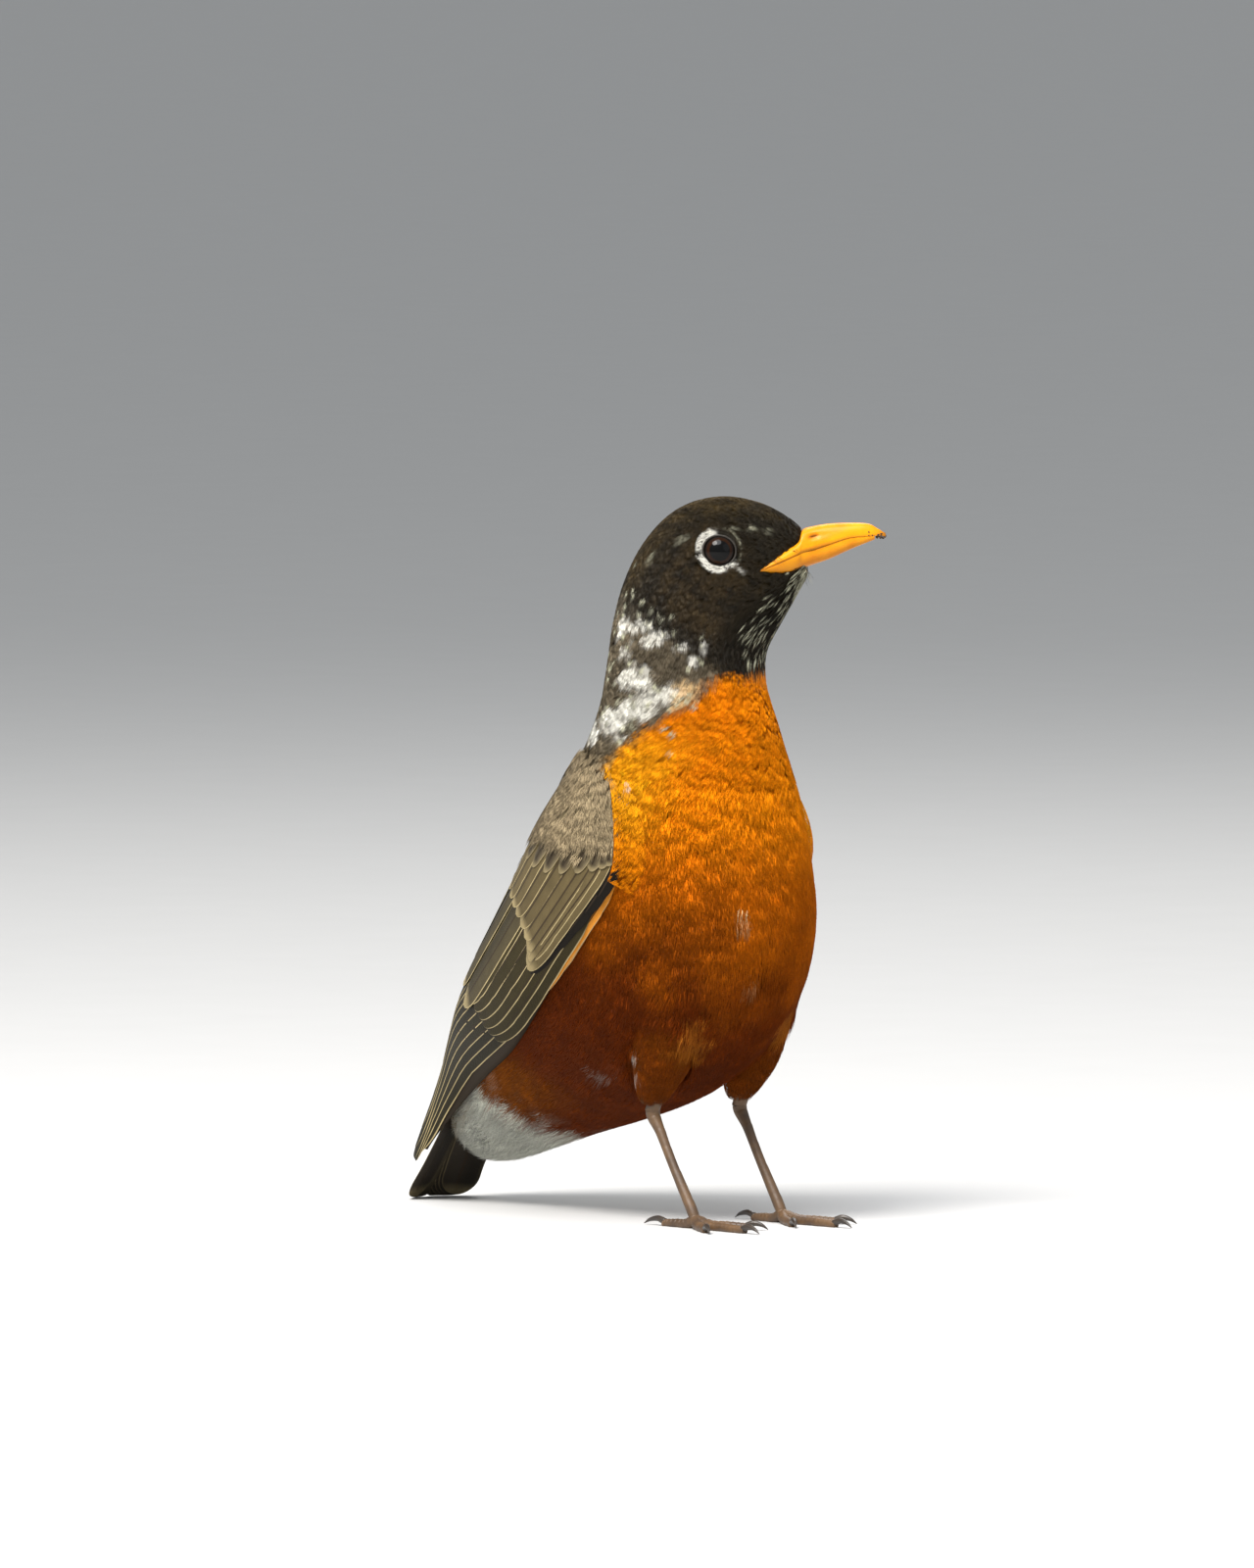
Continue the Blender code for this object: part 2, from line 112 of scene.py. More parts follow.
@dataclass(frozen=True)
class Palette:
    """The bird's colours, linear."""

    hood: Colour = (0.014, 0.0100, 0.0040)
    ear: Colour = (0.041, 0.026, 0.009)
    # Painted sheen: the crown lighter and browner where light falls on the top of the head.
    crown: Colour = (0.066, 0.043, 0.014)
    white: Colour = (0.90, 0.88, 0.80)
    neck: Colour = (0.150, 0.122, 0.082)
    mantle: Colour = (0.270, 0.210, 0.125)
    breast: Colour = (0.830, 0.250, 0.002)
    # Painted sunlight: the breast's side by the wing's front edge, brighter where light falls on it.
    sunny: Colour = (0.950, 0.430, 0.008)
    # Darker down the breast to the belly: partly the coat's own deeper rust, partly painted shade where
    # the body turns down, away from the light.
    middle: Colour = (0.535, 0.128, 0.0012)
    belly: Colour = (0.145, 0.025, 0.0008)
    flank: Colour = (0.290, 0.080, 0.002)
    vent: Colour = (0.540, 0.545, 0.470)
    blush: Colour = (0.900, 0.640, 0.330)
    streak: Colour = (0.560, 0.550, 0.400)
    loose: Colour = (0.620, 0.210, 0.022)
    cream: Colour = (0.940, 0.780, 0.420)


PALETTE = Palette()


# ---------------------------------------------------------------- numbers and meshes


def smooth(values: Sequence, t: Array) -> Array:
    """The values at t of a smooth curve through a list, where t counts its entries from 0.

    Args:
        values: The numbers or points that the curve passes through.
        t: Where to read it.

    Returns:
        One value or point for each t.
    """
    points = np.asarray(values, float)
    last = len(points) - 1
    t = np.clip(np.asarray(t, float), 0.0, last)
    i = np.minimum(t.astype(int), last - 1)
    u = t - i
    if points.ndim > 1:
        u = u[..., None]
    padded = np.concatenate(
        [[2 * points[0] - points[1]], points, [2 * points[-1] - points[-2]]]
    )
    before, start, end, after = (padded[i + k] for k in range(4))
    lean_start, lean_end = (end - before) / 2, (after - start) / 2
    return (
        (2 * u**3 - 3 * u**2 + 1) * start
        + (u**3 - 2 * u**2 + u) * lean_start
        + (3 * u**2 - 2 * u**3) * end
        + (u**3 - u**2) * lean_end
    )


def ramp(low: Any, high: Any, x: Array) -> Array:
    """0 below low, 1 above high, and a soft step between.

    Args:
        low: Where the step starts.
        high: Where it ends.
        x: Where to read it.

    Returns:
        The step's height at each x.
    """
    u = np.clip((np.asarray(x, float) - low) / (high - low), 0.0, 1.0)
    return u * u * (3 - 2 * u)


def unit(vectors: Array) -> Array:
    """The vectors at length 1."""
    return vectors / np.maximum(np.linalg.norm(vectors, axis=-1, keepdims=True), 1e-12)


def mix(one: Array, two: Any, share: Array) -> Array:
    """A blend of two colours.

    Args:
        one: The colours at share 0.
        two: The colour, or colours, at share 1.
        share: The blend of each row.

    Returns:
        The blended colours.
    """
    return one + (np.asarray(two, float) - one) * np.asarray(share)[..., None]


def rows_of(values: Sequence, count: int) -> Array:
    """The same values as a row for each of a number of points."""
    return np.tile(np.asarray(values, float), (count, 1))


@dataclass
class Ripple:
    """A smooth, seeded variation over space, from about -1 to 1."""

    seed: int
    size: float
    waves: int = 14

    def at(self, places: Array) -> Array:
        """The variation at places in mm.

        Args:
            places: Where it is asked for, in mm.

        Returns:
            One value for each place.
        """
        rng = np.random.default_rng(self.seed)
        ways = unit(rng.normal(size=(self.waves, 3)))
        steps = ways * (2 * math.pi / self.size) * rng.uniform(0.55, 1.5, (self.waves, 1))
        starts = rng.uniform(0, 2 * math.pi, self.waves)
        return np.sin(places @ steps.T + starts).sum(1) * math.sqrt(2 / self.waves) / 1.6


def placed(ahead: Array, out: Array, up: Array, turn: Any = HEAD_TURN) -> Array:
    """Places ahead of the neck's axis and out to the bird's left, turned about it.

    Args:
        ahead: How far ahead, in mm.
        out: How far out to the left.
        up: The height.
        turn: Degrees about the axis.

    Returns:
        The places, in metres.
    """
    angle = np.radians(turn)
    x = out * np.cos(angle) + ahead * np.sin(angle)
    y = NECK_Y + out * np.sin(angle) - ahead * np.cos(angle)
    up = np.broadcast_to(np.asarray(up, float), np.shape(x))
    return (np.stack([x, y, up], -1) + FEET) * MM


def standing(places: Any) -> Array:
    """Places given as (out, back, up) from the middle of the feet, in metres."""
    return (np.asarray(places, float) + FEET) * MM


def heading(turn: float, rise: float) -> Vector:
    """The direction from the bird to something round it.

    Args:
        turn: Degrees round it from its front.
        rise: Degrees up from the floor.

    Returns:
        The direction.
    """
    turn, rise = math.radians(turn), math.radians(rise)
    return Vector((math.sin(turn) * math.cos(rise), -math.cos(turn) * math.cos(rise), math.sin(rise)))


def grid_faces(
    rows: int, columns: int, wrapped: bool = False, looped: bool = False
) -> list[tuple[int, ...]]:
    """The quads of a grid of points.

    Args:
        rows: How many rows it has.
        columns: How many points a row has.
        wrapped: Whether each row is a ring.
        looped: Whether the last row joins the first.

    Returns:
        The faces, by the points' places in the list.
    """
    faces = []
    for i in range(rows if looped else rows - 1):
        low, high = i * columns, (i + 1) % rows * columns
        for k in range(columns if wrapped else columns - 1):
            after = (k + 1) % columns
            faces.append((low + k, low + after, high + after, high + k))
    return faces


def slab_faces(rows: int, columns: int) -> list[tuple[int, ...]]:
    """The faces of a thin closed slab: an upper grid of points, then a lower one.

    Args:
        rows: How many rows each grid has.
        columns: How many points a row has.

    Returns:
        The faces of both sheets and of the rim between them.
    """
    count = rows * columns
    faces = grid_faces(rows, columns)
    faces += [tuple(count + k for k in face[::-1]) for face in faces]
    rim = list(range(columns)) + [i * columns + columns - 1 for i in range(1, rows)]
    rim += [(rows - 1) * columns + k for k in range(columns - 2, -1, -1)]
    rim += [i * columns for i in range(rows - 2, 0, -1)]
    return faces + [(b, a, count + a, count + b) for a, b in zip(rim, rim[1:] + rim[:1])]


def spike_faces(rings: int) -> list[tuple[int, ...]]:
    """The faces of a spike through rings of three points and then its tip.

    Args:
        rings: How many rings it has.

    Returns:
        The faces.
    """
    last = 3 * (rings - 1)
    sides = grid_faces(rings, 3, wrapped=True)
    return [(2, 1, 0), *sides, *((last + k, last + (k + 1) % 3, last + 3) for k in range(3))]


def outward(places: Array, faces: list[tuple[int, ...]]) -> list[tuple[int, ...]]:
    """The faces of a closed shape, turned over if they point in.

    Args:
        places: The shape's points.
        faces: Its faces.

    Returns:
        The faces, pointing out.
    """
    middle = places.mean(0)
    volume = 0.0
    for face in faces[:: max(1, len(faces) // 20000)]:
        a, b, c = (places[k] - middle for k in face[:3])
        volume += float(a @ np.cross(b, c))
        if len(face) == 4:
            d = places[face[3]] - middle
            volume += float(a @ np.cross(c, d))
    return [face[::-1] for face in faces] if volume < 0 else faces


def closed_tube(rings: Array) -> tuple[Array, list[tuple[int, ...]]]:
    """A closed shape through rings of points, with one point at the middle of each end.

    Args:
        rings: The rings, as rows of points.

    Returns:
        Its points and faces.
    """
    rows, sides = rings.shape[:2]
    ends = np.stack([rings[0].mean(0), rings[-1].mean(0)])
    faces = grid_faces(rows, sides, wrapped=True)
    first, start = rows * sides, (rows - 1) * sides
    for k in range(sides):
        after = (k + 1) % sides
        faces += [(first, after, k), (first + 1, start + k, start + after)]
    places = np.concatenate([rings.reshape(-1, 3), ends])
    return places, outward(places, faces)


def gather(parts: list[tuple[Array, list]]) -> tuple[Array, list]:
    """Several shapes together.

    Args:
        parts: The points and faces of each.

    Returns:
        The points and faces of all.
    """
    places, faces = [], []
    for spots, quads in parts:
        start = sum(len(p) for p in places)
        places.append(spots)
        faces += [tuple(start + k for k in face) for face in quads]
    return np.concatenate(places), faces


def add_mesh(name: str, mesh: Any, material: Any = None) -> Any:
    """Puts a mesh into the scene as an object of its own, shaded smooth.

    Args:
        name: The object's name.
        mesh: The mesh.
        material: Its material, or none.

    Returns:
        The object.
    """
    mesh.name = name
    mesh.shade_smooth()
    if material is not None:
        mesh.materials.append(material)
    obj = bpy.data.objects.new(name, mesh)
    bpy.context.scene.collection.objects.link(obj)
    return obj


def add_object(name: str, places: Array, faces: list, material: Any = None) -> Any:
    """Makes an object of points and faces.

    Args:
        name: The object's name.
        places: Its points, in metres.
        faces: Its faces.
        material: Its material, or none.

    Returns:
        The object.
    """
    mesh = bpy.data.meshes.new(name)
    mesh.from_pydata(np.asarray(places).tolist(), [], faces)
    mesh.validate()
    return add_mesh(name, mesh, material)


def from_form(name: str, form: Any, material: Any) -> Any:
    """Makes an object of a bmesh and frees it.

    Args:
        name: The object's name.
        form: The bmesh.
        material: The object's material.

    Returns:
        The object.
    """
    mesh = bpy.data.meshes.new(name)
    form.to_mesh(mesh)
    form.free()
    return add_mesh(name, mesh, material)


def drop_attributes(mesh: Any, *names: str) -> None:
    """Takes attributes away where a mesh has them.

    Args:
        mesh: The mesh.
        names: The attributes' names.
    """
    for name in names:
        attribute = mesh.attributes.get(name)
        if attribute is not None:
            mesh.attributes.remove(attribute)


def write_attribute(mesh: Any, name: str, kind: str, values: Array) -> None:
    """Stores one value at each of a mesh's points.

    Args:
        mesh: The mesh.
        name: The attribute's name.
        kind: FLOAT, FLOAT_VECTOR or FLOAT_COLOR.
        values: One row for each point.
    """
    drop_attributes(mesh, name)
    attribute = mesh.attributes.new(name, kind, "POINT")
    values = np.asarray(values, float)
    if kind == "FLOAT_COLOR":
        values = np.concatenate([values, np.ones((len(values), 1))], 1)
    key = {"FLOAT": "value", "FLOAT_VECTOR": "vector", "FLOAT_COLOR": "color"}[kind]
    attribute.data.foreach_set(key, values.astype(np.float32).ravel())


def read_points(obj: Any, what: str = "co") -> Array:
    """Something of each point of an object.

    Args:
        obj: The object.
        what: Their places as "co", or their normals as "normal".

    Returns:
        One row for each.
    """
    values = np.zeros(len(obj.data.vertices) * 3, np.float32)
    obj.data.vertices.foreach_get(what, values)
    return values.reshape(-1, 3).astype(float)


def near_tree(places: Array, chosen: Any) -> KDTree:
    """A search tree of places.

    Args:
        places: Every place.
        chosen: The numbers of those that it holds.

    Returns:
        The tree.
    """
    tree = KDTree(len(chosen))
    for k in chosen:
        tree.insert(places[k], int(k))
    tree.balance()
    return tree


def tree_of(*objects: Any) -> BVHTree:
    """A search tree of several meshes' surfaces.

    Args:
        objects: The mesh objects.

    Returns:
        The tree.
    """
    places: list = []
    faces: list = []
    for obj in objects:
        start = len(places)
        places += [v.co.copy() for v in obj.data.vertices]
        faces += [[start + k for k in p.vertices] for p in obj.data.polygons]
    return BVHTree.FromPolygons(places, faces)


def hand_over(piece: Any, slot: str, *nodes: str) -> None:
    """Attaches a finished piece to the frame's root body, hides the CAD nodes that it stands for, and
    logs its triangles.

    Args:
        piece: The object.
        slot: The record's material slot; not used.
        nodes: The CAD nodes that it stands for.
    """
    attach(piece, "root")
    if nodes:
        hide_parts(*nodes)
    piece.data.calc_loop_triangles()
    LOG.info("%s: %d triangles", piece.name, len(piece.data.loop_triangles))


class NodeWriter:
    """Adds nodes to a tree and joins them up. Every method but feed and add gives a socket."""

    def __init__(self, tree: Any) -> None:
        """Keeps the tree to write in."""
        self.tree = tree

    def feed(self, node: Any, inputs: dict) -> None:
        """Gives a node its inputs.

        Args:
            node: The node.
            inputs: Values, or sockets to link from, by an input's name or number.
        """
        for key, value in inputs.items():
            if isinstance(value, bpy.types.NodeSocket):
                self.tree.links.new(value, node.inputs[key])
            else:
                node.inputs[key].default_value = value

    def add(self, kind: str, settings: dict | None = None, inputs: dict | None = None) -> Any:
        """Adds one node.

        Args:
            kind: The node's type.
            settings: Its own properties.
            inputs: What feed() gives it.

        Returns:
            The node.
        """
        node = self.tree.nodes.new(kind)
        for key, value in (settings or {}).items():
            setattr(node, key, value)
        self.feed(node, inputs or {})
        return node

    def math(self, operation: str, one: Any, two: Any = 0.0, three: Any = 0.0) -> Any:
        """A number worked out from others by the Math node's operation."""
        settings = {"operation": operation}
        return self.add("ShaderNodeMath", settings, {0: one, 1: two, 2: three}).outputs[0]

    def blend(self, share: Any, one: Any, two: Any, mode: str = "MIX") -> Any:
        """A blend of two colours, where share is how much of the second shows."""
        settings = {"data_type": "RGBA", "blend_type": mode}
        return self.add("ShaderNodeMix", settings, {0: share, 6: one, 7: two}).outputs[2]

    def attribute(self, name: str, output: str = "Fac") -> Any:
        """A named attribute of the surface, for a material."""
        return self.add("ShaderNodeAttribute", {"attribute_name": name}).outputs[output]

    def object_place(self) -> Any:
        """The place on the object, for a material."""
        return self.add("ShaderNodeTexCoord").outputs["Object"]

    def split(self, vector: Any) -> Any:
        """A vector's three numbers."""
        return self.add("ShaderNodeSeparateXYZ", None, {0: vector}).outputs

    def joined(self, x: Any = 0.0, y: Any = 0.0, z: Any = 0.0) -> Any:
        """A vector of three numbers."""
        return self.add("ShaderNodeCombineXYZ", None, {0: x, 1: y, 2: z}).outputs[0]

    def grey(self, tone: Any) -> Any:
        """A grey colour."""
        return self.add("ShaderNodeCombineColor", None, {0: tone, 1: tone, 2: tone}).outputs[0]

    def noise(self, place: Any, scale: Any, detail: float = 2.0) -> Any:
        """Soft noise over places."""
        inputs = {"Vector": place, "Scale": scale, "Detail": detail}
        return self.add("ShaderNodeTexNoise", None, inputs).outputs["Fac"]

    def step(self, value: Any, low: float, high: float, soft: bool = True, base: float = 0.0) -> Any:
        """A number that goes from base to 1 as another goes from low to high.

        Args:
            value: The other number.
            low: Where it starts.
            high: Where it ends.
            soft: Whether it eases in and out.
            base: What it starts from.

        Returns:
            The number's socket.
        """
        settings = {"interpolation_type": "SMOOTHSTEP"} if soft else None
        inputs = {"Value": value, "From Min": low, "From Max": high, "To Min": base}
        return self.add("ShaderNodeMapRange", settings, inputs).outputs[0]

    def bump(self, height: Any, strength: float) -> Any:
        """Normals that follow a height."""
        inputs = {"Height": height, "Strength": strength, "Distance": BUMP_DEPTH}
        return self.add("ShaderNodeBump", None, inputs).outputs[0]


def node_group(name: str, kind: str, takes: dict[str, str], gives: dict[str, str]) -> tuple:
    """An empty node group with its sockets.

    Args:
        name: The group's name.
        kind: The tree's type.
        takes: Each input's name and kind.
        gives: Each output's name and kind.

    Returns:
        A writer for its nodes, its inputs' sockets and its output node.
    """
    tree = bpy.data.node_groups.new(name, kind)
    for side, sockets in (("INPUT", takes), ("OUTPUT", gives)):
        for key, socket in sockets.items():
            tree.interface.new_socket(key, in_out=side, socket_type="NodeSocket" + socket)
    given, end = tree.nodes.new("NodeGroupInput"), tree.nodes.new("NodeGroupOutput")
    return NodeWriter(tree), given.outputs, end


# ---------------------------------------------------------------- finishes


class ShaderGroups:
    """The effects that several materials share."""

    def __init__(self) -> None:
        """Builds every group once."""
        self.barbs = self._barbs()
        self.mottle = self._mottle()

    @staticmethod
    def _barbs() -> Any:
        """Fine stripes, and uneven streaks, that run outwards and towards a feather's tip.

        Returns:
            The group.
        """
        takes = {"Vane": "Vector"}
        takes.update(dict.fromkeys(("Chance", "Count", "Slant", "Waver"), "Float"))
        gives = {"Stripe": "Float", "Streak": "Float"}
        write, given, end = node_group("feather_barbs", "ShaderNodeTree", takes, gives)
        across, along, _ = write.split(given["Vane"])
        lean = write.math("MULTIPLY", write.math("ABSOLUTE", across), given["Slant"])
        waver = write.math("MULTIPLY", write.noise(given["Vane"], 6.0), given["Waver"])
        run = write.math("SUBTRACT", along, lean)
        turns = write.math("MULTIPLY_ADD", run, given["Count"], waver)
        wave = write.math("SINE", write.math("MULTIPLY", turns, 2 * math.pi))
        apart = write.math("MULTIPLY", given["Chance"], 41.0)
        spot = write.joined(write.math("MULTIPLY", across, given["Count"]), along, apart)
        stripe = write.math("MULTIPLY_ADD", wave, 0.5, 0.5)
        streak = write.step(write.noise(spot, 1.3), 0.3, 0.7, soft=False)
        write.feed(end, {"Stripe": stripe, "Streak": streak})
        return write.tree

    @staticmethod
    def _mottle() -> Any:
        """A colour varied in patches and in grains.

        Returns:
            The group.
        """
        takes = {"Colour": "Color", "Second": "Color", "Patch": "Float", "Grain": "Float"}
        gives = {"Colour": "Color", "Height": "Float"}
        write, given, end = node_group("mottle", "ShaderNodeTree", takes, gives)
        place = write.object_place()
        patch = write.step(write.noise(place, given["Patch"], 4.0), 0.38, 0.66, soft=False)
        colour = write.blend(patch, given["Colour"], given["Second"])
        height = write.noise(place, given["Grain"], 3.0)
        write.feed(end, {"Colour": colour, "Height": height})
        return write.tree


def blank_material(name: str) -> tuple[Any, NodeWriter, Any]:
    """A new node material.

    Args:
        name: The material's name.

    Returns:
        The material, a writer for its nodes and its Principled shader.
    """
    material = bpy.data.materials.new(name)
    material.use_nodes = True
    writer = NodeWriter(material.node_tree)
    return material, writer, material.node_tree.nodes["Principled BSDF"]


@dataclass(frozen=True)
class FeatherFinish:
    """The finish of small feathers: the tint of each, its barbs, its darker root and pale rim."""

    name: str
    barbs: float = 9.0
    contrast: float = 0.32
    relief: float = 0.3
    rough: float = 0.66
    sheen: float = 0.0
    gloss: float = 0.05
    pale: Colour = (0.74, 0.40, 0.13)

    def build(self, groups: ShaderGroups) -> Any:
        """The material.

        Args:
            groups: The shared effects.

        Returns:
            The material.
        """
        material, write, shader = blank_material(self.name)
        vane, chance = write.attribute("vane", "Vector"), write.attribute("chance")
        inputs = {"Vane": vane, "Chance": chance, "Count": self.barbs}
        streak = write.add("ShaderNodeGroup", {"node_tree": groups.barbs}, inputs).outputs["Streak"]
        along = write.split(vane)[1]
        shade = write.math("MULTIPLY_ADD", streak, self.contrast, 1.02 - 0.5 * self.contrast)
        shade = write.math("MULTIPLY", shade, write.math("MULTIPLY_ADD", chance, 0.12, 0.94))
        shade = write.math("MULTIPLY", shade, write.step(along, 0.1, 0.8, base=0.90))
        colour = write.blend(1.0, write.attribute("tint", "Color"), write.grey(shade), "MULTIPLY")
        rim = write.math("MULTIPLY", write.attribute("fringe"), streak)
        rim = write.math("MULTIPLY", write.step(along, 0.86, 1.0), rim)
        write.feed(shader, {
            "Base Color": write.blend(rim, colour, (*self.pale, 1.0)),
            "Normal": write.bump(streak, self.relief),
            "Roughness": write.math("MULTIPLY_ADD", streak, 0.12, self.rough),
            "Sheen Weight": self.sheen,
            "Sheen Roughness": 0.45,
            "Specular IOR Level": self.gloss,
        })
        return material


@dataclass(frozen=True)
class VaneFinish:
    """The finish of flight feathers: a tint, a dark shaft, fine barbs and pale edges."""

    name: str
    edge: Colour = (0.49, 0.39, 0.20)
    shaft: Colour = (0.030, 0.020, 0.012)
    barbs: float = 70.0

    def build(self, groups: ShaderGroups) -> Any:
        """The material.

        Args:
            groups: The shared effects.

        Returns:
            The material.
        """
        material, write, shader = blank_material(self.name)
        vane = write.attribute("vane", "Vector")
        inputs = {"Vane": vane, "Count": self.barbs, "Slant": 0.12, "Waver": 2.5}
        barbs = write.add("ShaderNodeGroup", {"node_tree": groups.barbs}, inputs).outputs["Stripe"]
        shaft = write.step(write.math("ABSOLUTE", write.split(vane)[0]), 0.10, 0.03)
        noise = write.noise(write.object_place(), 260.0, 3.0)
        shade = write.math("MULTIPLY_ADD", barbs, 0.26, 0.62)
        shade = write.math("MULTIPLY_ADD", noise, 0.5, shade)
        colour = write.blend(1.0, write.attribute("tint", "Color"), write.grey(shade), "MULTIPLY")
        colour = write.blend(write.math("MULTIPLY", shaft, 0.8), colour, (*self.shaft, 1.0))
        frayed = write.math("MULTIPLY_ADD", noise, 0.9, 0.5)
        rim = write.math("MINIMUM", write.math("MULTIPLY", write.attribute("fringe"), frayed), 1.0)
        write.feed(shader, {
            "Base Color": write.blend(rim, colour, (*self.edge, 1.0)),
            "Normal": write.bump(barbs, 0.3),
            "Roughness": write.math("MULTIPLY_ADD", barbs, 0.12, 0.46),
            "Specular IOR Level": 0.1,
        })
        return material


@dataclass(frozen=True)
class HornFinish:
    """Horn or scaled skin: a mottled colour, darkened where the piece says so by stains and by painted
    shade.
    """

    name: str
    colour: Colour
    second: Colour
    stain: Colour = (0.10, 0.05, 0.01)
    rough: float = 0.35
    coat: float = 0.0
    patch: float = 180.0
    grain: float = 2600.0
    relief: float = 0.15
    soft: float = 0.0
    gloss: float = 0.5

    def build(self, groups: ShaderGroups) -> Any:
        """The material.

        Args:
            groups: The shared effects.

        Returns:
            The material.
        """
        material, write, shader = blank_material(self.name)
        inputs = {"Colour": (*self.colour, 1.0), "Second": (*self.second, 1.0)}
        inputs.update({"Patch": self.patch, "Grain": self.grain})
        mottle = write.add("ShaderNodeGroup", {"node_tree": groups.mottle}, inputs).outputs
        stain = write.attribute("stain")
        write.feed(shader, {
            "Base Color": write.blend(stain, mottle["Colour"], (*self.stain, 1.0)),
            "Normal": write.bump(mottle["Height"], self.relief),
            "Roughness": write.math("MULTIPLY_ADD", mottle["Height"], 0.2, self.rough - 0.1),
            "Coat Weight": self.coat,
            "Coat Roughness": 0.12,
            "Subsurface Weight": self.soft,
            "Subsurface Radius": (0.0012, 0.0006, 0.0002),
            "Subsurface Scale": 1.0,
            "Specular IOR Level": self.gloss,
        })
        return material


@dataclass(frozen=True)
class EyeFinish:
    """A dark iris round a black pupil, under a wet cornea."""

    name: str = "eye_wet"
    pupil: float = 0.54
    iris: float = 0.80

    def build(self) -> Any:
        """The material, which reads how far each point lies from the eye's axis.

        Returns:
            The material.
        """
        material, write, shader = blank_material(self.name)
        gaze = write.attribute("gaze")
        noise = write.noise(write.object_place(), 1800.0, 3.0)
        brown = write.blend(noise, (0.006, 0.002, 0.0008, 1.0), (0.028, 0.009, 0.002, 1.0))
        open_iris = write.step(gaze, self.pupil - 0.02, self.pupil + 0.05)
        rim = write.step(gaze, self.iris - 0.12, self.iris)
        colour = write.blend(open_iris, (0.002, 0.002, 0.002, 1.0), brown)
        write.feed(shader, {
            "Base Color": write.blend(rim, colour, (0.006, 0.004, 0.003, 1.0)),
            "Roughness": 0.3,
            "Specular IOR Level": 0.02,
            "Coat Weight": 0.30,
            "Coat Roughness": 0.015,
        })
        return material


class Finishes:
    """Every material of the model."""

    def __init__(self) -> None:
        """Builds the shared effects and then the materials."""
        groups = ShaderGroups()
        self.hood = FeatherFinish(
            "hood_plumage", barbs=5.0, contrast=0.8, rough=0.42, gloss=0.3, pale=(0.5, 0.47, 0.33)
        ).build(groups)
        self.body = FeatherFinish("body_plumage").build(groups)
        self.down = FeatherFinish(
            "down_plumage", barbs=3.0, rough=0.75, relief=0.1, sheen=0.15, pale=(0.7, 0.7, 0.6)
        ).build(groups)
        self.covert = FeatherFinish(
            "covert_plumage", barbs=9.0, contrast=0.6, rough=0.6, pale=(0.48, 0.40, 0.27)
        ).build(groups)
        self.vane = VaneFinish("flight_vanes").build(groups)
        self.bill = HornFinish(
            "bill_horn",
            (0.81, 0.31, 0.003),
            (0.68, 0.215, 0.001),
            stain=(0.16, 0.050, 0.004),
            rough=0.34,
            soft=0.05,
            gloss=0.22,
        ).build(groups)
        self.leg = HornFinish(
            "leg_scales", (0.130, 0.072, 0.032), (0.062, 0.036, 0.020), rough=0.5, relief=0.35
        ).build(groups)
        self.claw = HornFinish(
            "claw_horn", (0.045, 0.033, 0.024), (0.022, 0.016, 0.012), rough=0.4, coat=0.15
        ).build(groups)
        self.lid = HornFinish(
            "lid_skin", (0.030, 0.024, 0.017), (0.014, 0.011, 0.008), rough=0.5, relief=0.4
        ).build(groups)
        self.soil = HornFinish(
            "soil_crumbs", (0.055, 0.028, 0.012), (0.022, 0.012, 0.006), rough=0.85, relief=0.6
        ).build(groups)
        self.eye = EyeFinish().build()


# ---------------------------------------------------------------- the body's form


@dataclass(frozen=True)
class Station:
    """One ring of the body: two (ahead, up) places on its outline, its half-width, how far down
    it is widest, how square it is, and its turn about the neck's axis."""

    back: tuple[float, float]
    belly: tuple[float, float]
    half_width: float
    widest: float
    square: float
    turn: float


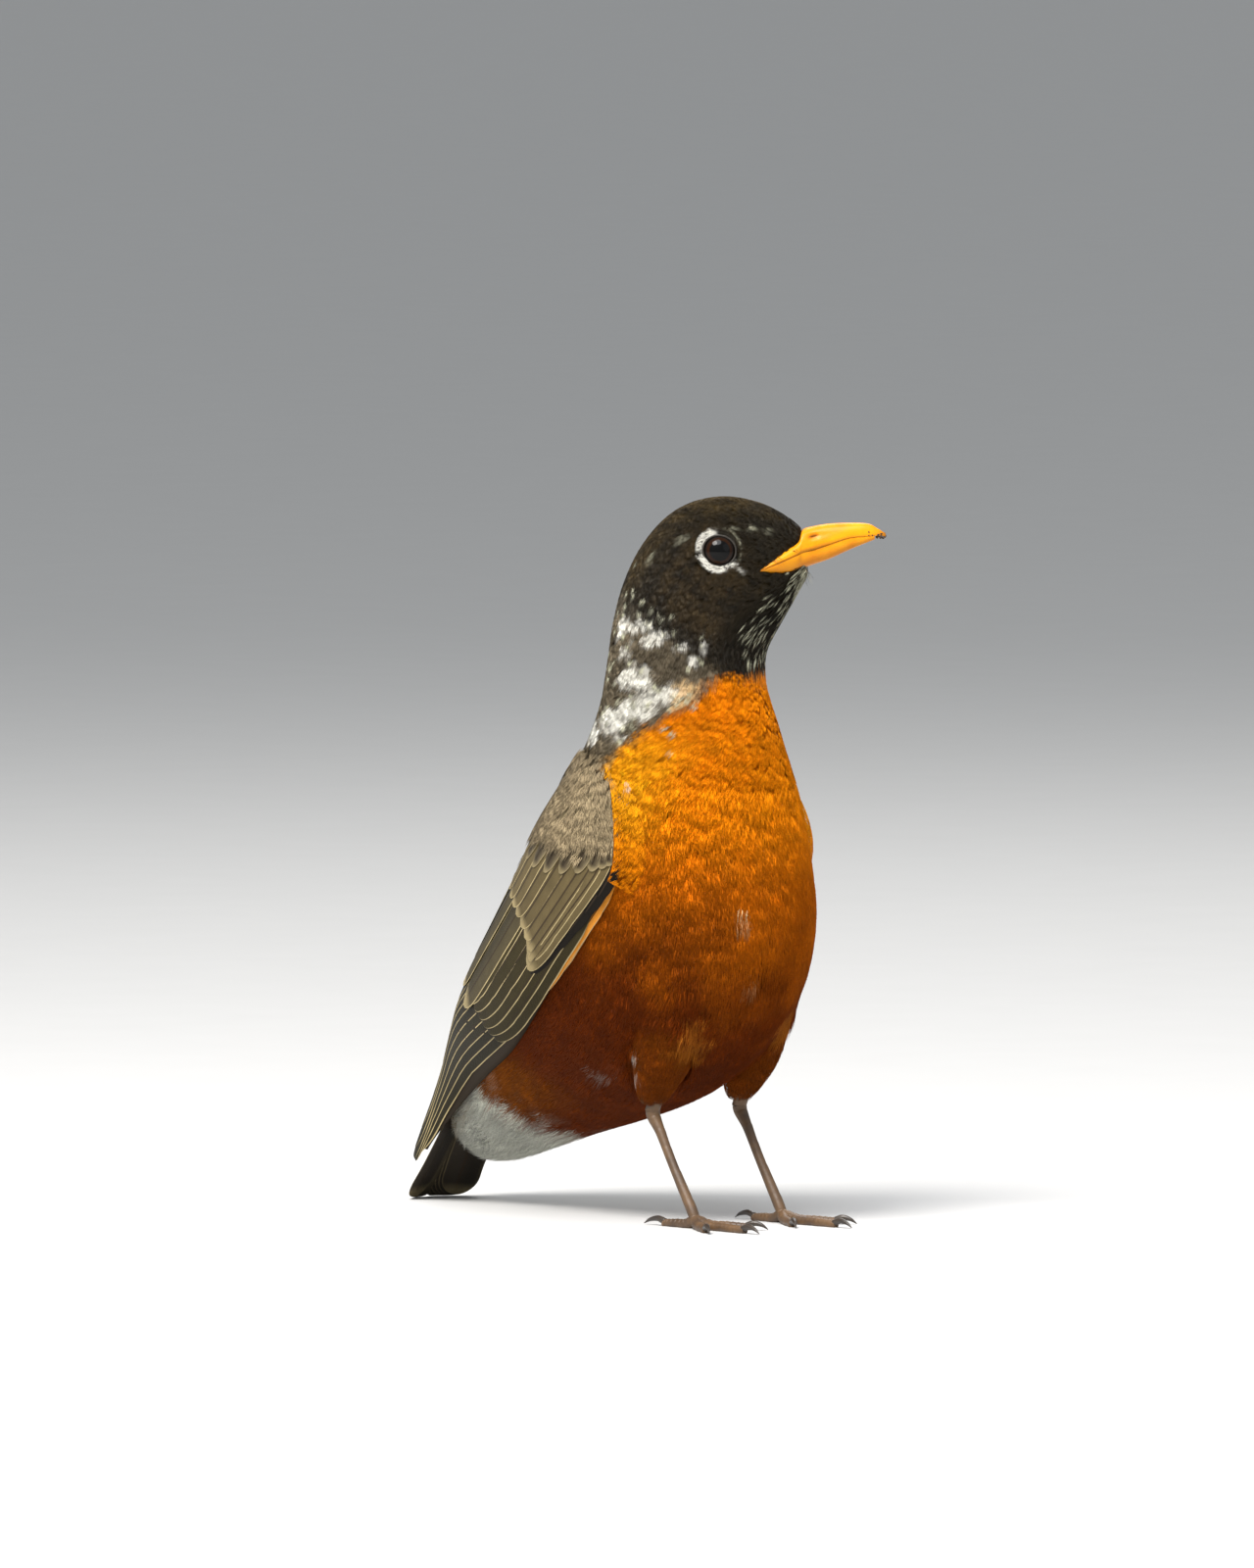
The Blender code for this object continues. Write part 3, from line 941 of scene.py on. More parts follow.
@dataclass
class Body:
    """The form of the head, neck and trunk, as a loft through stations from bill to tail."""

    stations: list[Station] = field(
        default_factory=lambda: [
            Station((28.6, 170.0), (29.6, 160.2), 3.4, 0.50, 2.0, HEAD_TURN),
            Station((27.9, 171.2), (29.4, 158.4), 4.4, 0.52, 2.0, HEAD_TURN),
            Station((24.2, 174.1), (27.8, 155.6), 5.6, 0.56, 2.1, HEAD_TURN),
            Station((18.0, 177.2), (25.4, 151.2), 7.6, 0.56, 2.3, HEAD_TURN),
            Station((9.6, 178.8), (23.2, 147.2), 9.9, 0.54, 2.4, HEAD_TURN),
            Station((1.2, 177.4), (21.2, 143.6), 12.1, 0.51, 2.35, HEAD_TURN),
            Station((-5.6, 173.3), (19.8, 140.4), 13.4, 0.49, 2.25, HEAD_TURN),
            Station((-11.6, 166.0), (19.4, 137.2), 14.1, 0.48, 2.1, HEAD_TURN),
            Station((-15.9, 156.8), (19.6, 134.0), 14.5, 0.48, 2.1, HEAD_TURN),
            Station((-18.4, 147.2), (20.2, 130.6), 15.3, 0.50, 2.1, HEAD_TURN),
            Station((-19.9, 137.4), (21.6, 126.0), 16.6, 0.52, 2.1, 42.0),
            Station((-22.0, 128.0), (24.0, 119.6), 19.4, 0.54, 2.1, 24.0),
            Station((-26.0, 118.6), (26.4, 111.2), 23.6, 0.55, 2.1, 8.0),
            Station((-31.6, 109.0), (29.2, 100.4), 27.4, 0.55, 2.1, 0.0),
            Station((-37.6, 99.2), (32.0, 86.8), 29.6, 0.55, 2.1, 0.0),
            Station((-43.2, 89.4), (34.0, 73.0), 30.6, 0.55, 2.1, 0.0),
            Station((-49.2, 80.4), (31.6, 59.0), 30.4, 0.55, 2.1, 0.0),
            Station((-55.0, 72.0), (24.4, 46.4), 29.2, 0.55, 2.1, 0.0),
            Station((-60.8, 64.2), (12.4, 36.2), 27.0, 0.54, 2.1, 0.0),
            Station((-66.2, 56.8), (-2.6, 29.4), 23.8, 0.52, 2.1, 0.0),
            Station((-71.4, 49.6), (-18.8, 24.4), 20.2, 0.50, 2.1, 0.0),
            Station((-76.4, 42.4), (-35.6, 20.0), 16.4, 0.50, 2.0, 0.0),
            Station((-81.2, 35.2), (-51.0, 15.6), 12.8, 0.50, 2.0, 0.0),
            Station((-85.8, 28.0), (-65.0, 11.8), 9.2, 0.50, 2.0, 0.0),
            Station((-89.2, 22.0), (-77.0, 11.0), 4.6, 0.50, 2.0, 0.0),
        ]
    )
    # At every second station: each feather's width and length, and the coat's depth.
    widths: list[float] = field(
        default_factory=lambda: [0.5, 0.6, 0.95, 1.15, 1.5, 2.2, 3.3, 4.2, 4.6, 4.8, 4.6, 3.8, 3.0]
    )
    lengths: list[float] = field(
        default_factory=lambda: [1.2, 1.9, 2.7, 3.3, 4.3, 5.6, 7.0, 8.0, 8.6, 9.4, 10.0, 9.4, 8.0]
    )
    depths: list[float] = field(
        default_factory=lambda: [0.4, 0.6, 0.8, 0.95, 1.2, 1.7, 2.2, 2.5, 2.6, 2.6, 2.4, 2.0, 1.2]
    )

    @property
    def last(self) -> int:
        """The number of the last station."""
        return len(self.stations) - 1

    def surface(self, t: Array, angle: Array, inset: Any = 0.0) -> Array:
        """Places on the body.

        Args:
            t: The station of each.
            angle: Radians round from the back, positive to the bird's left.
            inset: How far inside the outer surface, in mm.

        Returns:
            The places, in metres.
        """
        back = smooth([s.back for s in self.stations], t)
        belly = smooth([s.belly for s in self.stations], t)
        half_width = smooth([s.half_width for s in self.stations], t) - inset
        widest = smooth([s.widest for s in self.stations], t)
        power = 2 / smooth([s.square for s in self.stations], t)
        turn = smooth([s.turn for s in self.stations], t)
        depth = np.linalg.norm(back - belly, axis=-1)
        upwards = (back - belly) / depth[..., None]
        middle = back + widest[..., None] * (belly - back)
        c, s = np.cos(angle), np.sin(angle)
        reach = np.where(c > 0, widest, 1 - widest) * depth - inset
        rise = np.sign(c) * np.abs(c) ** power * reach
        out = np.sign(s) * np.abs(s) ** power * half_width
        spot = middle + upwards * rise[..., None]
        return placed(spot[..., 0], out, spot[..., 1], turn)

    def depth(self, t: Array) -> Array:
        """The depth of the coat at stations, in mm."""
        return smooth(self.depths, np.asarray(t) / 2)

    def courses(self, step: float) -> Array:
        """Stations that lie evenly along the bird's side.

        Args:
            step: Their spacing in mm.

        Returns:
            The stations.
        """
        fine = np.linspace(0, self.last, 2400)
        length = np.zeros(len(fine))
        for angle in (0.0, 1.57, 3.14):
            line = self.surface(fine, np.full(len(fine), angle)) / MM
            length[1:] += np.cumsum(np.linalg.norm(np.diff(line, axis=0), axis=1)) / 3
        return np.interp(np.arange(0, length[-1], step), length, fine)


@dataclass
class Coating:
    """What the coat needs to know at each point of a surface that it grows on."""

    out: Array
    lie: Array
    tuft: Array
    angle: Array  # of the tuft's patch round the unwrap
    height: Array  # of the patch up the unwrap
    tint: Array
    fringe: Array

    def write(self, mesh: Any) -> None:
        """Stores it on the surface's points.

        Args:
            mesh: The mesh, with a point for each of the coating's rows.
        """
        around = np.stack([np.cos(self.angle), np.sin(self.angle), self.height], 1)
        vectors = {"out": self.out, "lie": self.lie, "tuft": self.tuft * MM, "around": around}
        for name, values in vectors.items():
            write_attribute(mesh, name, "FLOAT_VECTOR", values)
        write_attribute(mesh, "tint", "FLOAT_COLOR", self.tint)
        write_attribute(mesh, "fringe", "FLOAT", self.fringe)


@dataclass(frozen=True)
class Mark:
    """A patch of another colour: its place, its half-lengths along and across the lie, its turn
    from the lie, and how ragged its edge is."""

    station: float
    round: float
    along: float
    across: float
    colour: Colour
    tilt: float = 0.0
    ragged: float = 0.35
    strength: float = 1.0


@dataclass
class Markings:
    """The colours of the coat over the whole body."""

    body: Body
    marks: list[Mark] = field(
        default_factory=lambda: [
            # The right side of the neck.
            Mark(8.75, -26, 2.8, 1.4, PALETTE.white, 0, 0.26),
            Mark(8.5, -47, 1.4, 3.2, PALETTE.white, -24, 0.26),
            Mark(8.65, -62, 1.45, 3.2, PALETTE.white, -30, 0.26),
            Mark(8.45, -84, 1.0, 1.9, PALETTE.white, -15),
            Mark(8.85, -92, 1.2, 1.0, PALETTE.white),
            Mark(8.0, -100, 1.6, 0.5, PALETTE.white),
            Mark(9.9, -54, 2.5, 4.3, PALETTE.white, -6, 0.22),
            Mark(9.3, -38, 1.5, 1.5, PALETTE.white, 0, 0.6, 0.7),
            Mark(11.55, -40, 2.5, 4.8, PALETTE.white, -14, 0.24),
            Mark(11.1, -55, 2.6, 5.0, PALETTE.white, -16, 0.24),
            Mark(10.65, -69, 2.5, 5.0, PALETTE.white, -20, 0.24),
            Mark(10.1, -81, 2.3, 4.5, PALETTE.white, -22, 0.26),
            Mark(9.95, -92, 2.4, 2.6, PALETTE.blush, -20, 1.0, 0.8),
            Mark(11.4, -73, 0.8, 1.8, PALETTE.white, -18),
            # The left side, much the same but not a copy.
            Mark(8.7, 34, 1.9, 1.5, PALETTE.white),
            Mark(8.5, 58, 1.2, 3.4, PALETTE.white, 22),
            Mark(8.6, 79, 1.1, 2.2, PALETTE.white, 18),
            Mark(9.7, 62, 1.9, 3.2, PALETTE.white, 8),
            Mark(10.9, 52, 2.1, 5.0, PALETTE.white, 16),
            Mark(10.4, 72, 2.2, 4.6, PALETTE.white, 20),
            Mark(9.9, 90, 1.9, 2.6, PALETTE.blush, 20, 1.0, 0.8),
            # Flecks in the breast and belly.
            Mark(12.7, -101, 1.6, 0.8, PALETTE.white, 0, 0.5),
            Mark(12.3, 104, 1.0, 0.6, PALETTE.white, 0, 0.5),
            Mark(14.6, -164, 2.1, 0.45, PALETTE.cream, 12, 0.3),
            Mark(14.9, -162, 1.4, 0.3, PALETTE.cream, 20, 0.3),
            Mark(15.7, -172, 1.3, 0.3, PALETTE.cream, 6, 0.3, 0.8),
            Mark(16.1, -176, 1.3, 0.3, PALETTE.cream, 6, 0.3, 0.8),
            Mark(16.9, -152, 5.2, 3.4, PALETTE.loose, 8, 0.9, 0.55),
            Mark(16.6, 150, 4.6, 3.0, PALETTE.loose, -6, 0.9, 0.45),
            Mark(17.7, -131, 3.0, 0.6, PALETTE.white, 14, 0.5, 0.85),
            Mark(18.0, -138, 2.4, 0.45, PALETTE.white, -4, 0.5, 0.75),
            Mark(18.2, -126, 2.2, 0.4, PALETTE.white, 24, 0.5, 0.6),
            Mark(18.4, 132, 2.4, 0.6, PALETTE.white, -8, 0.5, 0.7),
            # The white that runs on from the ring, below and before the eye.
            Mark(4.5, -89, 0.9, 0.6, PALETTE.white, 30, 0.5, 0.6),
            Mark(4.5, 89, 0.9, 0.6, PALETTE.white, -30, 0.5, 0.6),
            # Small pale flecks about the brows, and the tuft before the eye.
            Mark(4.0, -60, 0.35, 1.0, PALETTE.streak, 30, 0.4, 0.6),
            Mark(3.4, -59, 0.35, 1.0, PALETTE.streak, 30, 0.4, 0.6),
            Mark(2.8, -60, 0.3, 0.9, PALETTE.streak, 30, 0.4, 0.5),
            Mark(3.9, 61, 0.35, 1.1, PALETTE.streak, -30, 0.4, 0.6),
            Mark(3.1, 60, 0.35, 0.9, PALETTE.streak, -30, 0.4, 0.5),
            Mark(6.8, -34, 1.2, 0.7, PALETTE.streak, 0, 0.5, 0.6),
            Mark(5.7, -49, 1.4, 0.5, PALETTE.streak, 0, 0.5, 0.4),
            Mark(6.5, 38, 1.0, 0.6, PALETTE.streak, 0, 0.5, 0.5),
        ]
    )

    def hood_edge(self, a: Array) -> Array:
        """The station where the hood ends, at degrees round from the back."""
        return np.interp(a, [0, 60, 120, 135, 160, 180], [8.0, 8.35, 8.5, 8.0, 7.0, 6.5])

    def breast_edge(self, t: Array) -> Array:
        """How far round from the back the breast's colour starts, in degrees.

        Args:
            t: The stations.

        Returns:
            The angle at each station.
        """
        stations = [6.5, 7.0, 8.0, 8.6, 9.6, 10.4, 11.0, 12.0, 13.0, 16.0, 20.0, 24.0]
        degrees = [180, 165, 134, 116, 102, 96, 85, 76, 70, 68, 74, 84]
        return np.interp(t, stations, degrees)

    def breast(self, t: Array, a: Array, places: Array) -> Array:
        """The rust colour of the underside, with painted sunlight on its side by the wing, and darker
        down the belly: partly its own deeper rust, partly painted shade.

        Args:
            t: The stations.
            a: Degrees round from the back.
            places: The places in mm.

        Returns:
            The colours.
        """
        # Painted sunlight on the breast's side by the wing's front edge.
        side = ramp(140, 96, a) * ramp(10.5, 12.0, t) * ramp(14.2, 12.6, t)
        bright = mix(rows_of(PALETTE.breast, len(t)), PALETTE.sunny, 0.85 * side)
        # Darker down the breast to the belly: partly the coat's own deeper rust, partly painted shade
        # where the body turns down, away from the light.
        bright = mix(bright, PALETTE.middle, ramp(12.4, 14.2, t))
        deep = ramp(13.4, 16.4, t + 0.5 * Ripple(21, 16).at(places) - 0.5 * ramp(150, 176, a))
        colour = mix(bright, PALETTE.belly, deep)
        colour = mix(colour, PALETTE.flank, 0.75 * ramp(18.6, 19.8, t) * ramp(150, 100, a))
        patchy = 1 + 0.17 * Ripple(22, 7).at(places) + 0.12 * Ripple(23, 2.6).at(places)
        return colour * np.clip(patchy, 0.5, 1.5)[:, None]

    def hood(self, t: Array, a: Array, fine: Array, coarse: Array, streaky: Array) -> Array:
        """The colours of the head: black, browner on the cheek, lighter on the crown by a painted
        sheen, pale on the chin.

        Args:
            t: The stations.
            a: Degrees round from the back.
            fine: A fine variation over the places.
            coarse: A coarse one.
            streaky: A finer one yet.

        Returns:
            The colours.
        """
        ear = ramp(3.2, 5.0, t) * ramp(8.2, 7.0, t) * ramp(36, 58, a) * ramp(122, 96, a)
        colour = rows_of(PALETTE.hood, len(t))
        colour = mix(colour, PALETTE.ear, ear * np.clip(0.75 + 0.5 * fine, 0, 1))
        # Painted sheen: the top of the head lighter and browner where light falls on it.
        top = ramp(1.6, 3.4, t) * ramp(8.4, 7.0, t) * ramp(50, 22, a)
        colour = mix(colour, PALETTE.crown, top * np.clip(0.8 + 0.6 * coarse, 0, 1))
        colour *= np.clip(1 + 0.3 * fine, 0.5, 1.6)[:, None]
        chin = ramp(2.6, 1.0, t) * ramp(112, 136, a) * np.clip(0.55 + 0.8 * streaky, 0, 1)
        return mix(colour, PALETTE.streak, 0.75 * chin)

    def flecks(self, t: Array, a: Array) -> Array:
        """The share of pale feathers among the others: high on the chin, low on the neck.

        Args:
            t: The stations.
            a: Degrees round from the back.

        Returns:
            The share at each point.
        """
        front = np.interp(t, [1.0, 3.0, 5.0, 7.5], [98, 102, 114, 128])
        throat = ramp(0.0, 0.5, t) * ramp(0.2, -0.8, t - self.hood_edge(a)) * ramp(0, 22, a - front)
        side = ramp(7.0, 8.0, t) * ramp(12.4, 11.6, t) * ramp(118, 104, a)
        return np.maximum(throat * (0.20 + 0.5 * ramp(3.6, 1.0, t)), 0.07 * side)

    def paint(self, places: Array, t: Array, a: Array) -> tuple[Array, Array]:
        """The coat's colours.

        Args:
            places: The places in metres.
            t: Their stations.
            a: Degrees round from the back, with their side's sign.

        Returns:
            The colours, and how pale each feather's rim is.
        """
        spots, aside = places / MM, np.abs(a)
        fine, coarse = Ripple(11, 2.2).at(spots), Ripple(12, 6.0).at(spots)
        streaky = Ripple(13, 1.4).at(spots)
        colour = rows_of(PALETTE.neck, len(t))
        colour *= np.clip(1 + 0.28 * streaky + 0.35 * coarse, 0.3, 1.9)[:, None]
        mantle = np.asarray(PALETTE.mantle) * (1 + 0.16 * fine + 0.1 * coarse)[:, None]
        colour = mix(colour, mantle, ramp(11.4, 12.6, t))
        edge = self.breast_edge(t) + 5 * fine
        colour = mix(colour, self.breast(t, aside, spots), ramp(-4, 4, aside - edge))
        hood = self.hood(t, aside, fine, coarse, streaky)
        colour = mix(colour, hood, ramp(0.22, -0.22, t - self.hood_edge(aside) - 0.22 * fine))
        pale = np.asarray(PALETTE.vent) * np.clip(1 + 0.3 * coarse + 0.2 * fine, 0.4, 1.5)[:, None]
        colour = mix(colour, pale, ramp(20.5, 21.2, t + 0.35 * coarse) * ramp(62, 84, aside))
        for mark in self.marks:
            colour = self._add_mark(mark, colour, spots, fine)
        rims = 0.5 * ramp(13.8, 15.5, t) * ramp(20.4, 19.0, t) * ramp(80, 100, aside)
        rims += 0.16 * ramp(10.0, 12.0, t) * ramp(70, 50, aside)
        rims *= np.clip(0.7 + 0.9 * Ripple(15, 9).at(spots), 0, 1.4)
        return np.clip(colour, 0.001, 0.95), np.clip(rims, 0, 1)

    def _add_mark(self, mark: Mark, colour: Array, spots: Array, fine: Array) -> Array:
        """Blends one patch into the colours.

        Args:
            mark: The patch.
            colour: The colours so far.
            spots: Their places in mm.
            fine: A fine variation that frays its edge.

        Returns:
            The new colours.
        """
        t = mark.station + np.array([0.0, 0.2, 0.0])
        angle = np.radians(mark.round + np.array([0.0, 0.0, 4.0]))
        centre, after, beside = self.body.surface(t, angle, self.body.depth(t)) / MM
        along = unit(after - centre)
        across = unit((beside - centre) - along * np.dot(beside - centre, along))
        c, s = math.cos(math.radians(mark.tilt)), math.sin(math.radians(mark.tilt))
        away = spots - centre
        u = away @ (along * c + across * s) / mark.along
        v = away @ (across * c - along * s) / mark.across
        near = np.linalg.norm(away, axis=1) < 12
        share = ramp(1.20, 0.98, np.hypot(u, v) + 0.5 * mark.ragged * fine) * near * mark.strength
        return mix(colour, mark.colour, share)


@dataclass
class Thigh:
    """The feathered upper leg: a tapering tube from the flank to the heel."""

    out: float = 14.0
    line: list[tuple[float, float]] = field(
        default_factory=lambda: [(0.0, 62.0), (5.5, 51.0), (9.5, 41.0), (12.5, 33.2), (13.2, 30.2)]
    )
    radii: list[float] = field(default_factory=lambda: [5.0, 8.2, 7.0, 4.0, 2.2])
    depth: float = 0.9

    def surface(self, side: Side, s: Array, angle: Array) -> Array:
        """Places on its skin.

        Args:
            side: Which leg.
            s: How far down, from 0 to 1.
            angle: Radians round it.

        Returns:
            The places, in metres.
        """
        last = len(self.line) - 1
        t = np.asarray(s) * last
        spot = smooth(self.line, t)
        after, before = np.minimum(t + 0.05, last), np.maximum(t - 0.05, 0)
        course = unit(smooth(self.line, after) - smooth(self.line, before))
        radius = smooth(self.radii, t) - self.depth * ramp(0.0, 0.9, 1.05 - np.asarray(s))
        reach = np.sin(angle) * radius
        x = side.value * self.out + np.cos(angle) * radius
        y = spot[..., 0] + course[..., 1] * reach
        z = spot[..., 1] - course[..., 0] * reach
        return standing(np.stack([x, y, z], -1))


@dataclass
class Skin:
    """One skin under the whole coat of the head, neck, trunk and thighs."""

    body: Body
    markings: Markings
    step: float = 1.0
    sides: int = 144
    crease: float = 4.5
    eases: int = 14
    thigh: Thigh = field(default_factory=Thigh)

    def __post_init__(self) -> None:
        """Sets up what the build fills in."""
        self.obj: Any = None
        self.t = np.zeros(0)
        self.a = np.zeros(0)
        self.leg = np.zeros(0)
        self.places = np.zeros((0, 3))
        self.out = np.zeros((0, 3))

    def build(self, material: Any) -> Any:
        """Makes the skin, and works out its stations, markings and lie at each point.

        Args:
            material: The skin's material.

        Returns:
            The object.
        """
        courses = self.body.courses(self.step)
        angles = np.linspace(0, 2 * math.pi, self.sides, endpoint=False)
        t, angle = np.meshgrid(courses, angles, indexing="ij")
        grid = self.body.surface(t, angle, self.body.depth(t))
        trunk = add_object("skin_base", *closed_tube(grid))
        known = [(grid.reshape(-1, 3), t.ravel(), angle.ravel(), np.zeros(t.size))]
        down, turns = np.linspace(0.12, 1, 26), np.linspace(0, 2 * math.pi, 40, False)
        s, around = np.meshgrid(down, turns, indexing="ij")
        for side in Side:
            tube = self.thigh.surface(side, s, around)
            leg = np.full(s.size, float(side.value))
            known.append((tube.reshape(-1, 3), s.ravel(), around.ravel(), leg))
            union = trunk.modifiers.new("join", "BOOLEAN")
            union.operation = "UNION"
            union.object = add_object("thigh_base", *closed_tube(tube))
        graph = bpy.context.evaluated_depsgraph_get()
        mesh = bpy.data.meshes.new_from_object(trunk.evaluated_get(graph), depsgraph=graph)
        for obj in [o for o in bpy.data.objects if o.name.startswith(("skin_base", "thigh_base"))]:
            bpy.data.objects.remove(obj)
        mesh.materials.clear()
        self.obj = add_mesh("skin", mesh, material)
        self._ease(known)
        self._survey(known)
        return self.obj

    def _ease(self, known: list[tuple[Array, Array, Array, Array]]) -> None:
        """Rounds the crease between the trunk and each thigh.

        Args:
            known: For each form that went into the skin, its points, stations, angles and leg.
        """
        places = read_points(self.obj)
        gaps = []
        for spots in (known[0][0], np.concatenate([form[0] for form in known[1:]])):
            tree = near_tree(spots, range(len(spots)))
            gaps.append(np.array([tree.find(p)[2] for p in places]))
        near = np.flatnonzero(np.maximum(*gaps) < self.crease * MM)
        form = bmesh.new()
        form.from_mesh(self.obj.data)
        form.verts.ensure_lookup_table()
        chosen = [form.verts[int(k)] for k in near]
        axes = {"use_axis_x": True, "use_axis_y": True, "use_axis_z": True}
        for _ in range(self.eases):
            bmesh.ops.smooth_vert(form, verts=chosen, factor=0.5, **axes)
        form.to_mesh(self.obj.data)
        form.free()

    def _survey(self, known: list[tuple[Array, Array, Array, Array]]) -> None:
        """Finds the station and angle of each point of the finished skin, and its coat.

        Args:
            known: For each form that went into it, its points, stations, angles and leg.
        """
        spots, t, angle, leg = (np.concatenate(column) for column in zip(*known))
        tree = near_tree(spots, range(len(spots)))
        self.places = read_points(self.obj)
        near = np.array([tree.find(p)[1] for p in self.places])
        self.t, angle, self.leg = t[near], angle[near], leg[near]
        self.a = np.degrees((angle + math.pi) % (2 * math.pi) - math.pi)
        self.out = unit(read_points(self.obj, "normal"))
        on_body = self.leg == 0
        station = np.where(on_body, self.t, 17.5)
        tint, fringe = self.markings.paint(self.places, station, np.where(on_body, self.a, -130.0))
        shade = mix(tint, PALETTE.flank, np.where(on_body, 0.0, 0.3))
        shade = mix(shade, PALETTE.neck, np.where(on_body, 0.0, 0.8 * ramp(0.7, 1.0, self.t)))
        height = np.where(on_body, 0.88 * self.t / self.body.last, 0.0)
        height += np.where(self.leg < 0, 0.90 + 0.04 * self.t, 0.0)
        height += np.where(self.leg > 0, 0.95 + 0.04 * self.t, 0.0)
        lie, size = self._lie(angle, on_body), self._sizes(on_body)
        Coating(self.out, unit(lie), size, angle, height, shade, fringe).write(self.obj.data)
        fleck = self.markings.flecks(self.t, np.abs(self.a)) * on_body
        write_attribute(self.obj.data, "fleck", "FLOAT", fleck)

    def _lie(self, angle: Array, on_body: Array) -> Array:
        """The way that feathers lie at each point: along the body, or down the leg.

        Args:
            angle: Radians round the body or the leg.
            on_body: Where the skin is the body's.

        Returns:
            The directions.
        """
        depth = self.body.depth(self.t)
        lie = self.body.surface(np.minimum(self.t + 0.1, self.body.last), angle, depth)
        lie = lie - self.body.surface(np.maximum(self.t - 0.1, 0), angle, depth)
        for side in Side:
            mine = self.leg == side.value
            s = np.clip(self.t[mine], 0.0, 0.95)
            ahead = self.thigh.surface(side, s + 0.05, angle[mine])
            lie[mine] = ahead - self.thigh.surface(side, s, angle[mine])
        turns = np.linspace(0, 6.02, 24)
        for side in Side:
            top, foot = (self.thigh.surface(side, 0 * turns + s, turns).mean(0) for s in (0.42, 0.95))
            share = ramp(15, 7, np.linalg.norm(self.places - top, axis=1) / MM) * on_body
            down = unit(foot - top) + 0.5 * unit(self.places - top)
            lie = mix(unit(lie), down - self.out * (down * self.out).sum(1)[:, None], share)
        return lie

    def _sizes(self, on_body: Array) -> Array:
        """The width, length and depth of the feathers at each point.

        Args:
            on_body: Where the skin is the body's.

        Returns:
            One row of three for each point, in mm.
        """
        tables = (self.body.widths, self.body.lengths, self.body.depths)
        size = np.stack([smooth(table, self.t / 2) for table in tables], 1)
        size[:, 0] *= 1 - 0.25 * ramp(110, 130, np.abs(self.a)) * ramp(9, 7, self.t)
        low = ramp(0.3, 1.0, self.t)[~on_body]
        size[~on_body] = np.stack([3.0 - 1.5 * low, 6.5 - 3.5 * low, 1.5 - 0.8 * low], 1)
        return size

    def covered(self, *covers: Any, reach: float = 14.0, rim: float = 4.5) -> Array:
        """Where the skin lies well under other pieces, so that no feather there would show.

        Args:
            covers: The pieces.
            reach: How far out from the skin they may be, in mm.
            rim: How far in from their edges feathers still grow.

        Returns:
            True at each such point.
        """
        tree = tree_of(*covers)
        hits = [tree.ray_cast(Vector(p), Vector(n), reach * MM) for p, n in zip(self.places, self.out)]
        hidden = np.array([hit[0] is not None for hit in hits])
        near = near_tree(self.places, np.flatnonzero(~hidden))
        for k in np.flatnonzero(hidden):
            hidden[k] = near.find(self.places[k])[2] > rim * MM
        return hidden

    def strip(self) -> None:
        """Takes away what only the coat needed."""
        drop_attributes(self.obj.data, "out", "lie", "tuft", "around", "density", "fleck")


# ---------------------------------------------------------------- small feathers


